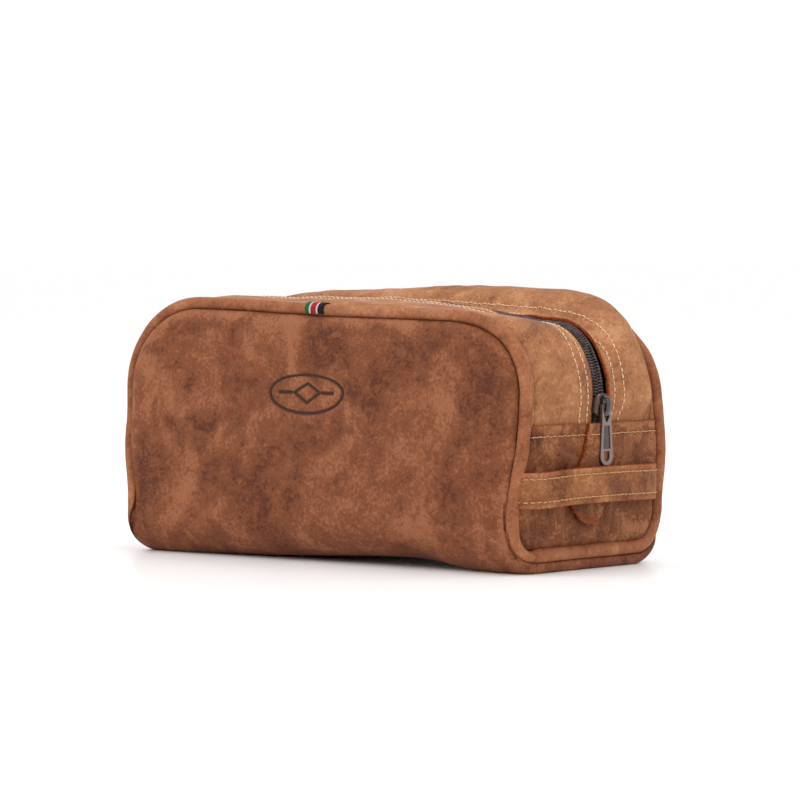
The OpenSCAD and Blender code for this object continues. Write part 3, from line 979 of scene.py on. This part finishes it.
def build_coil(side, paints):
    """Coil of one side and the two threads that sew it down."""
    name = SIDE_NAMES[side]
    steps = np.arange(0, 2 * ZIP_REACH / COIL_PITCH, 1 / 10)
    along = -ZIP_REACH + steps * COIL_PITCH
    phase = 2 * math.pi * steps + (math.pi if side > 0 else 0)
    y = COIL_Y + COIL_HALF_W * np.cos(phase) - 0.35
    coil_r = COIL_PATH_R + COIL_RAISE + 0.35
    path = slump(skin(along, coil_r + COIL_HALF_H * np.sin(phase), zip_depth(y, side), side))
    parts = [tube(path, COIL_WIRE_R, 6, ALONG_Y)]
    for offset, lift in ((2.7, 0.8), (3.8, 0.3)):
        y = offset + 0.2 * np.cos(phase)
        r = coil_r + lift + 0.28 * np.sin(phase)
        path = slump(skin(along, r, zip_depth(y, side), side))
        parts.append(tube(path, COIL_THREAD_R, 6, ALONG_Y))
    points, faces = join_meshes(parts)
    coil = make_piece(f"{name}_coil_teeth", points, faces, paints["coil"])
    tails = ["right_zip_tail"] if side < 0 else ["left_zip_tail"]
    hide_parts(f"{name}_zip_coil", *tails)
    open_upper(coil)


SLIDER_ANGLE = math.atan2(PIVOT[2] - ARC_Z, PIVOT[0] - ARC_X)
SLIDER_PATH_R = STRIP_R - 1.6
SLIDER_HALF_W = 6.2
SLIDER_HALF_L = 6.3
WEDGE_HALF = 4.0
CROWN_FOOT = 4.2
CROWN_RISE = 4.1
CROWN_HALF_L = 5.0
CROWN_HALF_W = 2.1
CROWN_HALF_T = 0.75


def at_slider(local):
    """From (out, across, up the chain) at the slider to the bag's frame."""
    out = np.array((math.cos(SLIDER_ANGLE), 0, math.sin(SLIDER_ANGLE)))
    up = np.array((-math.sin(SLIDER_ANGLE), 0, math.cos(SLIDER_ANGLE)))
    centre = np.array((ARC_X, ZIP_Y, ARC_Z)) + SLIDER_PATH_R * out
    local = np.asarray(local, float)
    return centre + local[..., :1] * out + local[..., 1:2] * np.array((0, 1, 0)) + (
        local[..., 2:] * up)


def slider_outline(count):
    """Rounded shield: broad shoulders below, where the coils part, and narrower above."""
    angle = full_turn(count)
    c, s = np.cos(angle), np.sin(angle)
    y = SLIDER_HALF_W * np.sign(c) * np.abs(c) ** 0.66
    z = SLIDER_HALF_L * np.sign(s) * np.abs(s) ** 0.6
    narrowing = 0.12 * ease(-1, SLIDER_HALF_L, z)
    return y * (1 - narrowing - 0.2 * ease(-3, -SLIDER_HALF_L, z)), z


def slider_plate(sign):
    """A domed plate on one side of the chain, its flanges turned towards the other."""
    y, z = slider_outline(48)
    skirt = 1.1 * ease(0.7, 0.95, np.abs(y) / 6.1)
    rings = ((0.86, 2.5, 1), (0.95, 2.6, 1), (1.0, 3.0, 1), (1.0, 3.9, 0), (0.97, 4.45, 0),
             (0.9, 4.85, 0), (0.72, 5.2, 0), (0.45, 5.35, 0), (0.2, 5.4, 0))
    sections = []
    for scale, height, skirted in rings:
        groove = 1.1 * bump_at(0, 1.3, y * scale) * ease(1, -4, z * scale) * (height > 4)
        h = height - skirt * skirted - groove
        sections.append(xyz(sign * h, y * scale, z * scale))
    return at_slider(np.array(sections)), capped_faces(len(rings), len(y))


def bar_sweep(path, half_w, half_t):
    """A flat bar with rounded edges along a path of (out, up) in the slider's middle."""
    along = unit(np.gradient(path, axis=0))
    normal = np.stack((-along[:, 1], along[:, 0]), axis=1)
    angle = full_turn(16)
    c, s = np.cos(angle), np.sin(angle)
    across = half_w * np.sign(c) * np.abs(c) ** 0.9
    thick = half_t * np.sign(s) * np.abs(s) ** 0.8
    out = path[:, None, 0] + normal[:, None, 0] * thick
    up = path[:, None, 1] + normal[:, None, 1] * thick
    return at_slider(xyz(out, across, up)), capped_faces(len(path), 16)


def build_slider(paints):
    """Two plates, a wedge between them and a crown over the pull tab's bar."""
    parts = [slider_plate(1), slider_plate(-1)]
    wedge = np.linspace(-WEDGE_HALF, WEDGE_HALF, 6)
    y, z = slider_outline(20)
    rings = [xyz(h, y * 0.2, z * 0.3 - 3.2) for h in wedge]
    parts.append((at_slider(np.array(rings)), capped_faces(len(wedge), 20)))
    points, faces = join_meshes(parts)
    body = make_piece("slider_plates", points, faces, paints["metal"])
    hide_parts("slider_body")
    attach(face_outward(body), "slider")
    turn = np.linspace(0, math.pi, 26)
    rise = CROWN_FOOT + CROWN_RISE * np.sin(turn) ** 0.55
    path = np.stack((rise, CROWN_HALF_L * np.cos(turn)), axis=1)
    points, faces = bar_sweep(path, CROWN_HALF_W, CROWN_HALF_T)
    crown = make_piece("slider_bridge", points, faces, paints["metal"])
    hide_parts("slider_crown")
    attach(face_outward(crown), "slider")


def outline_curve(name, loops, half_t, bevel):
    """Mesh of a flat shape with holes, standing across X, with rounded edges."""
    data = bpy.data.curves.new(name, "CURVE")
    data.dimensions = "2D"
    data.fill_mode = "BOTH"
    data.extrude = (half_t - bevel) * TO_METRES
    data.bevel_depth = bevel * TO_METRES
    data.bevel_resolution = 3
    for loop in loops:
        spline = data.splines.new("POLY")
        spline.points.add(len(loop) - 1)
        for point, (u, v) in zip(spline.points, loop):
            point.co = (u * TO_METRES, v * TO_METRES, 0, 1)
        spline.use_cyclic_u = True
    thing = add_object(name, data)
    bpy.context.view_layer.update()
    mesh = bpy.data.meshes.new_from_object(thing.evaluated_get(
        bpy.context.evaluated_depsgraph_get()))
    bpy.data.objects.remove(thing)
    points = np.array([v.co for v in mesh.vertices]) / TO_METRES
    faces = [list(p.vertices) for p in mesh.polygons]
    bpy.data.meshes.remove(mesh)
    return points[:, [2, 0, 1]], faces


def arc_points(u, v, radius, start, end, count=10):
    angle = np.radians(np.linspace(start, end, count))
    return [(u + radius * math.cos(a), v + radius * math.sin(a)) for a in angle]


TAB_TOP_HALF = 3.35
TAB_LOW_HALF = 4.75
TAB_RIM_T = 0.95
TAB_FLOOR_T = 0.4
TAB_BAR_R = 0.85


def tab_outline(inset, length):
    """Outline of the pull tab below its pivot, drawn in from its edge by inset."""
    top, low = TAB_TOP_HALF - inset, TAB_LOW_HALF - inset
    loop = [(-top, 0.7 - inset), (top, 0.7 - inset), (top + 0.1, -7.0)]
    loop += arc_points(0, -length + TAB_LOW_HALF, low, 0, -180, 24)
    return loop + [(-top - 0.1, -7.0)]


def build_pull_tab(paints):
    """A rim, a thinner recessed floor, a long hole below and a slot for the crown."""
    length = tab_high[2] - tab_low[2] + 0.2
    slot = [(-2.45, -0.9), (2.45, -0.9), (2.3, -5.6)]
    slot += arc_points(0, -7.4, 0.9, -10, -170, 8) + [(-2.3, -5.6)]
    low_v = -length + TAB_LOW_HALF
    hole = arc_points(0, low_v - 0.4, 2.5, 0, -180, 16) + [(-2.4, low_v + 2.6),
                                                         (2.4, low_v + 2.6)]
    recess = [(2.5, -9.4), (3.3, low_v + 3.4), (-3.3, low_v + 3.4), (-2.5, -9.4)]
    outer = tab_outline(0, length)
    rim, rim_faces = outline_curve("rim", [outer, slot, recess, hole], TAB_RIM_T, 0.3)
    floor, floor_faces = outline_curve("floor", [tab_outline(0.5, length), slot, hole],
                                       TAB_FLOOR_T, 0.1)
    turn = full_turn(14)
    bar_y = np.linspace(-3.1, 3.1, 9)[:, None]
    bar = xyz(TAB_BAR_R * np.cos(turn), bar_y, TAB_BAR_R * np.sin(turn))
    points, faces = join_meshes([(rim, rim_faces), (floor, floor_faces),
                                 (bar, capped_faces(*bar.shape[:2]))])
    rim_highlight = np.zeros(len(points))
    # Painted highlight on the rim, strongest on its raised flat faces
    rim_highlight[:len(rim)] = 0.1 + 0.45 * ease(0.6, TAB_RIM_T, np.abs(rim[:, 0]))
    tab = make_piece("pull_tab_plate", points + PIVOT, faces, paints["metal"],
                     {"rim_highlight": rim_highlight}, smooth=False)
    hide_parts("pull_tab")
    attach(face_outward(tab), "puller")


# ---- Ends ----
PANEL_X = panel_high[0]
PANEL_T = 1.6
PANEL_COLUMNS = 81
# Distance of the row of stitches below the panel's top edge, and from stitch to stitch
END_ROW = 5
END_STITCH_PITCH = 2.6
# How far the lining is behind the panel's face, and its width as a share of the panel's
LINING_BEHIND = 4.4
LINING_SHARE = 0.97
LINING_DROP = 1.5
PANEL_GAP = PIPE_R - 0.3


def panel_edge(z, side):
    """Half width of an end panel at height z, up against the piping."""
    radius, u_y, u_z = u_corner(side)
    inner = radius - PANEL_GAP
    drop = np.clip((u_z - z) / inner, 0, 1)
    spread = (WALL_PIPE_DEPTH - PIPE_LOW_DEPTH) * ease(*PIPE_SPREAD[side], z)
    return u_y + inner * np.sqrt(1 - drop ** 2) - spread


def panel_inside(y, z, side):
    """How far a place on an end panel is inside the panel's edge."""
    radius, u_y, u_z = u_corner(side)
    corner = np.hypot(np.clip(side * y - u_y, 0, None), np.clip(u_z - z, 0, None))
    low = radius - PANEL_GAP - corner
    return np.where(z < u_z, low, panel_edge(z, side) - side * y)


def panel_face(y, z, side_x):
    """X of an end panel's outer face: a soft puff that dips at the piping."""
    inside = np.where(y < 0, panel_inside(y, z, -1), panel_inside(y, z, 1))
    place = xyz(10 * side_x, y, z)
    puff = 0.7 * ease(0, 24, inside) + 0.4 * cloud(place, 30, 5.0) * ease(2, 14, inside)
    streaks = xyz(y * 2.2 - z * 0.3, z * 0.4, 0)
    crease = np.clip(cloud(streaks, 15, 9.0 * side_x) - 0.35, 0, None)
    puff = puff + 1.1 * crease * ease(3, 14, inside) * ease(58, 34, z)
    puff = puff - 0.5 * bump_at(SEAM_Z - END_ROW, 1.2, z)
    return PANEL_X - 0.35 + puff - 2.4 * (1 - ease(-1.2, 3.2, inside))


def panel_grid(side_x):
    """Heights of the rows of an end panel, and the y and z of its points."""
    rows = np.concatenate((np.linspace(U_LOW + PANEL_GAP, 32, 34),
                           np.linspace(32, SEAM_Z, 34)[1:]))
    share = np.sin(np.linspace(-math.pi / 2, math.pi / 2, PANEL_COLUMNS))
    y = np.where(share < 0, panel_edge(rows, -1)[:, None], panel_edge(rows, 1)[:, None]) * share
    top_wave = 0.45 * cloud(xyz(0, y, 0), 14, 3.0 + side_x)
    return rows, y, rows[:, None] + top_wave * ease(SEAM_Z - 6, SEAM_Z, rows)[:, None]


def folded_faces(count, columns):
    """Faces of a sheet folded back on itself, closed at both sides and at its start."""
    starts = [i * columns for i in range(count)]
    faces = [list(f) for f in grid_faces(count, columns)]
    for line in (starts, [v + columns - 1 for v in starts]):
        faces += [[line[i], line[i + 1], line[count - 2 - i], line[count - 1 - i]]
                  for i in range(count // 2 - 1)]
    last = (count - 1) * columns
    faces += [[i, i + 1, last + i + 1, last + i] for i in range(columns - 1)]
    return faces


def build_end_panel(name, side_x, paints):
    """Leather end with a turned top edge."""
    z, y, zz = panel_grid(side_x)
    outer = xyz(panel_face(y, zz, side_x), y, zz)
    turned = ((0.12, 0.35), (0.5, 0.6), (1.0, 0.6), (PANEL_T - 0.1, 0.3))
    edge = [outer[-1] + np.array((-back, 0, up)) for back, up in turned]
    rows = np.concatenate((outer, edge, outer[::-1] - (PANEL_T, 0, 0)))
    raw = np.concatenate((0 * z, (0.7, 1, 1, 1), 0 * z + 1))[:, None]
    # Painted highlight on the rounded top edge and painted shade along the sunk row of stitches,
    # carried by the tone mark
    edge_light_and_row_shade = 0.6 * bump_at(SEAM_Z - 1.2, 1.4, z) - 0.8 * bump_at(SEAM_Z - END_ROW, 0.9, z)
    edge_light_and_row_shade = np.concatenate((edge_light_and_row_shade, np.zeros(len(z) + len(turned))))[:, None]
    fray = 0.14 * cloud(rows, 1.5) * (raw > 0.5)
    rows = slump((rows + fray[..., None] * np.array((0.5, 0, 1))) * (side_x, 1, 1))
    panel = make_piece(f"{name}_panel_leather", rows, folded_faces(*rows.shape[:2]),
                       paints["end"], {"raw": raw, "tone": edge_light_and_row_shade})
    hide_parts(f"{name}_panel")
    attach(face_outward(panel), "bag_base")


def build_end_lining(name, side_x, paints):
    """Lining sheet behind an end panel."""
    _, y, z = panel_grid(side_x)
    sheet = xyz(PANEL_X - LINING_BEHIND, y * LINING_SHARE, z - LINING_DROP)
    both = np.concatenate((sheet, sheet[::-1] - (LINING_T, 0, 0)))
    both = slump(both * (side_x, 1, 1))
    faces = grid_faces(*both.shape[:2])
    lining = make_piece(f"{name}_lining_sheet", both, faces, paints["lining"])
    edit_mesh(lining.data, fill_holes)
    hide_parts(f"{name}_lining")
    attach(face_outward(lining), "bag_base")


def build_end_stitching(name, side_x, paints):
    """Row along the top edge of an end panel. It also crosses the tongue."""
    reach = float(panel_edge(SEAM_Z, 1))
    y = np.arange(-reach + 1.5, reach - 1, END_STITCH_PITCH)
    z = SEAM_Z - END_ROW + 0.15 * np.sin(y)
    over = np.where(np.abs(y - TONGUE_TOP_Y) < TONGUE_TOP_W / 2 + 0.3, TONGUE_T + 0.1, 0)

    def place(shift):
        x = panel_face(y + shift, z, side_x) + over + 0.1
        return slump(xyz(x, y + shift, z) * (side_x, 1, 1))

    outward = np.broadcast_to((side_x, 0, 0), (len(y), 3))
    points, faces = join_meshes(stitch_parts(place(0), place(NEAR) - place(-NEAR), outward))
    piece = make_piece(f"{name}_thread", points, faces, paints["tan_thread"])
    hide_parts(f"{name}_stitching")
    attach(piece, "bag_base")


TONGUE_T = 1.9
TONGUE_TOP_Y = 4.0
TONGUE_TOP_W = 22.5
TONGUE_LOW_Y = -3.6
TONGUE_LOW_W = tongue_high[1] - tongue_low[1] + 0.6
TONGUE_LOW = tongue_low[2]
TONGUE_CURL = 1.8


def tongue_rows():
    """Height, middle and half width of a tongue's rows, and how far its end rounds them."""
    top = SEAM_Z + 0.4
    radius = TONGUE_LOW_W / 2
    z = np.concatenate((TONGUE_LOW + radius * (1 - np.cos(np.linspace(0.02, math.pi / 2, 18))),
                        np.linspace(TONGUE_LOW + radius, top, 34)[1:]))
    fall = ease(top, TONGUE_LOW + radius, z)
    middle = TONGUE_TOP_Y + (TONGUE_LOW_Y - TONGUE_TOP_Y) * fall
    half = (TONGUE_TOP_W + (TONGUE_LOW_W - TONGUE_TOP_W) * fall) / 2
    cap = np.sqrt(np.clip(1 - (np.clip(TONGUE_LOW + radius - z, 0, None) / radius) ** 2, 0, 1))
    return z, middle, half * cap, cap


def tongue_section():
    """Round a row of a tongue: place across, edge bulge, and 1 outside to -1 inside."""
    share = np.sin(np.linspace(-math.pi / 2, math.pi / 2, 25))
    angle = np.linspace(math.pi / 2, -math.pi / 2, 7)[1:-1]
    across = np.concatenate((share, 1 + 0 * angle, share[::-1], -1 + 0 * angle))
    bulge = np.concatenate((0 * share, np.cos(angle), 0 * share, -np.cos(angle)))
    level = np.concatenate((0 * share + 1, np.sin(angle), 0 * share - 1, np.sin(angle[::-1])))
    return across, bulge, level


def build_tongue(side_name, side_x, paints):
    """Leather tongue over the end of the zip: a slanted tab with a round end."""
    z, middle, half, cap = (row[:, None] for row in tongue_rows())
    across, bulge, level = tongue_section()
    y = middle + half * across + 0.45 * bulge
    curl = TONGUE_CURL * ease(TONGUE_LOW + 16, TONGUE_LOW, z)
    lay = panel_face(y, np.minimum(z + 0 * y, SEAM_Z), side_x) + 0.15 + curl
    wave = 0.3 * cloud(xyz(0, y, z), 16, 8.0)
    points = xyz(lay + TONGUE_T / 2 * (1 + level) + wave, y, z)
    raw = (np.abs(level) < 0.95) | (level < -0.5)
    raw = np.clip(raw + 0.9 * ease(0.8, 0.25, cap), 0, 1)
    points[..., 1] += 0.5 * cloud(points, 1.3, 2.0) * (np.abs(bulge) > 0)
    points = slump(points * (side_x, 1, 1))
    piece = sweep(f"{side_name}_tongue_leather", points, paints["end"],
                  {"raw": raw, "tone": 0.35})
    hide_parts(f"{side_name}_zip_tongue")
    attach(piece, "bag_base")


# ---- Grab strap ----
# Middle line of the strap seen from above, as (x, y)
STRAP_LINE = ((128.8, -56.6), (131.6, -56.0), (134.6, -54.0), (137.2, -49.5), (138.6, -42.0),
              (139.4, -28.0), (139.7, -12.0), (139.8, 4.0), (139.6, 20.0), (139.2, 33.0),
              (138.4, 40.0), (136.6, 44.0), (133.4, 47.0), (129.4, 49.4))
STRAP_T = 2.6
STRAP_EDGE = 0.5
# Distance of each row of stitches from the strap's edge
STRAP_ROW = 3.4


def strap_line(share):
    """Point and direction of the strap's middle line, share running from 0 to 1."""
    points = np.array(STRAP_LINE)
    length = np.concatenate(([0], np.cumsum(np.linalg.norm(np.diff(points, axis=0), axis=1))))
    place = np.asarray(share, float) * length[-1]
    x, y = (curve(np.stack((length, line), axis=1), place) for line in points.T)
    return x, y, length[-1]


def strap_point(share, up, out):
    """A point on the strap: up across its width and out from its middle line."""
    x, y, _ = strap_line(share)
    x1, y1, _ = strap_line(np.clip(share + 0.002, 0, 1))
    x0, y0, _ = strap_line(np.clip(share - 0.002, 0, 1))
    size = np.hypot(x1 - x0, y1 - y0)
    nx, ny = (y1 - y0) / size, -(x1 - x0) / size
    z = STRAP_Z + up
    z = z - 1.2 * ease(-20, -54, y) - 0.4 * ease(10, 45, y)
    lay = 0.35 * cloud(xyz(0, y, z), 24, 1.0)
    return xyz(x + nx * (out + lay), y + ny * (out + lay), z)


def strap_blend(piece):
    """Bakes a strap piece's placement into its points."""
    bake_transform(piece)


def build_strap(paints):
    """Two layers of leather sewn back to back, with raw edges and a line between them."""
    share = np.linspace(0, 1, 140)
    half = STRAP_W / 2
    flat = np.linspace(STRAP_EDGE - half, half - STRAP_EDGE, 19)
    turn = np.linspace(math.pi / 2, -math.pi / 2, 9)[1:-1]
    round_up = half - STRAP_EDGE + STRAP_EDGE * np.cos(turn) - 0.25 * bump_at(0, 0.35, turn)
    up = np.concatenate((flat, round_up, flat[::-1], -round_up))
    puff = 0.25 * np.cos(flat / half * math.pi / 2) - 0.28 * (
        bump_at(STRAP_ROW - half, 0.8, flat) + bump_at(half - STRAP_ROW, 0.8, flat))
    half_t = STRAP_T / 2
    out = np.concatenate((half_t + puff, half_t * np.sin(turn), -half_t - 0.4 * puff[::-1],
                          -half_t * np.sin(turn)))
    edge = np.concatenate((0 * flat, 1 + 0 * turn, 0 * flat, 1 + 0 * turn))
    ss, uu = np.meshgrid(share, up, indexing="ij")
    points = strap_point(ss, uu, out)
    points[..., 2] += 0.22 * cloud(points, 1.4, 4.0) * edge
    # Lighter along the rounded edges of the outer face, partly the pull-up of bent leather and
    # partly painted highlight
    lift = 0.5 * np.exp(-(((np.abs(up) - half + 1.0) / 1.2) ** 2)) * (out > 0)
    piece = sweep("grab_strap_leather", points, paints["strap"],
                  {"raw": edge, "tone": lift})
    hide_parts("strap_front_anchor", "strap_back_anchor", "strap_outer_layer",
                "strap_inner_layer")
    strap_blend(piece)


def build_strap_stitching(paints):
    """A row of stitches along each edge of the strap."""
    length = strap_line(0)[2]
    share = np.arange(1.5 / length, 1 - 1.5 / length, STITCH_PITCH / length)
    parts = []
    for row in (STRAP_ROW - STRAP_W / 2, STRAP_W / 2 - STRAP_ROW):
        up = row + 0.1 * np.sin(share * 90)
        centre = strap_point(share, up, STRAP_T / 2 + 0.05)
        ahead = strap_point(share + 0.003, up, 0) - strap_point(share - 0.003, up, 0)
        outward = strap_point(share, up, 1.0) - strap_point(share, up, 0.0)
        parts += stitch_parts(centre, ahead, outward)
    points, faces = join_meshes(parts)
    piece = make_piece("grab_strap_thread", points, faces, paints["tan_thread"])
    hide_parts("strap_stitching")
    strap_blend(piece)


def build_ribbon(paints):
    """Woven loop folded over the front piping."""
    x = np.linspace(ribbon_low[0], ribbon_high[0], 25)
    angle = np.radians(np.concatenate((np.linspace(-28, 208, 30), np.linspace(208, -28, 30))))
    thick = np.repeat((0.75, 0.15), 30)
    size = PIPE_R + thick + 0.05 * np.sin(x * 9)[:, None]
    d = pipe_depth(x, -1)[:, None] + size * np.cos(angle)
    r = CORNER_R + size * np.sin(angle)
    rings = slump(skin(x[:, None], r, d, -1))
    ribbon = sweep("ribbon_woven", rings, paints["ribbon"])
    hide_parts("ribbon_loop")
    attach(ribbon, "front_flap")


# ---- Scene ----
def build_bag(paints):
    for side in (-1, 1):
        build_body(side, paints)
        build_piping(side, paints)
        build_strip(side, paints)
        build_strip_stitching(side, paints)
        build_tape(side, paints)
        build_coil(side, paints)
    for side_name, side_x in (("right", 1), ("left", -1)):
        build_end_panel(f"{side_name}_end", side_x, paints)
        build_end_lining(f"{side_name}_end", side_x, paints)
        build_end_stitching(f"{side_name}_end", side_x, paints)
        build_tongue(side_name, side_x, paints)
    build_slider(paints)
    build_pull_tab(paints)
    build_strap(paints)
    build_strap_stitching(paints)
    build_ribbon(paints)
    for stop in ("right_zip_stop", "left_zip_stop"):
        frame["nodes"][stop].data.materials.clear()
        frame["nodes"][stop].data.materials.append(paints["metal"])


FLOOR_HALF = 60.0
LAMPS = (
    ("key_lamp", (-0.9, -1.3, 1.5), 1.4, 12.0),
    ("top_lamp", (0.5, 0.3, 1.8), 1.2, 10.0),
    ("side_lamp", (1.9, -0.2, 0.9), 1.0, 4.0),
)


def build_floor():
    """Pale floor, far wider than the picture. Its sizes are in metres."""
    paint = Paint("pale_floor")
    grain = paint.noise(30, 3)
    colour = paint.ramp(grain, ((0.3, (0.93, 0.93, 0.925, 1)), (0.7, (0.95, 0.95, 0.945, 1))))
    material = paint.finish(colour, 0.35, Specular_IOR_Level=0.25)
    corners = [(x * FLOOR_HALF, y * FLOOR_HALF, 0) for x, y in ((-1, -1), (1, -1), (1, 1), (-1, 1))]
    mesh = bpy.data.meshes.new("floor")
    mesh.from_pydata(corners, [], [(0, 1, 2, 3)])
    mesh.materials.append(material)
    add_object("floor", mesh)


def build_light():
    """Soft white sky and three large lamps, aimed at the bag."""
    world = bpy.data.worlds.new("studio")
    world.use_nodes = True
    world.node_tree.nodes["Background"].inputs["Color"].default_value = (1, 1, 1, 1)
    world.node_tree.nodes["Background"].inputs["Strength"].default_value = 1.04
    bpy.context.scene.world = world
    bpy.context.scene.view_settings.view_transform = "Standard"
    for name, place, width, power in LAMPS:
        lamp = bpy.data.lights.new(name, "AREA")
        lamp.size = width
        lamp.energy = power
        thing = add_object(name, lamp)
        thing.location = place
        aim = Vector((0, 0, 0.06)) - Vector(place)
        thing.rotation_euler = aim.to_track_quat("-Z", "Y").to_euler()


def build_camera():
    """Long lens in front of the bag's right corner, a little above its top. In metres."""
    azimuth = math.radians(40.1)
    distance, height = 2.0, 0.155
    turn_right, tilt_down = 0.00284, 0.03714
    ahead = Vector((-math.sin(azimuth), math.cos(azimuth), -tilt_down))
    ahead += turn_right * Vector((math.cos(azimuth), math.sin(azimuth), 0))
    lens = bpy.data.cameras.new("camera")
    lens.sensor_width = 36
    lens.lens = 174.5
    lens.clip_end = 200
    camera = add_object("camera", lens)
    camera.location = (distance * math.sin(azimuth), -distance * math.cos(azimuth), height)
    camera.rotation_euler = ahead.to_track_quat("-Z", "Y").to_euler()
    bpy.context.scene.camera = camera


build_camera()
build_floor()
build_light()
build_bag(make_materials())
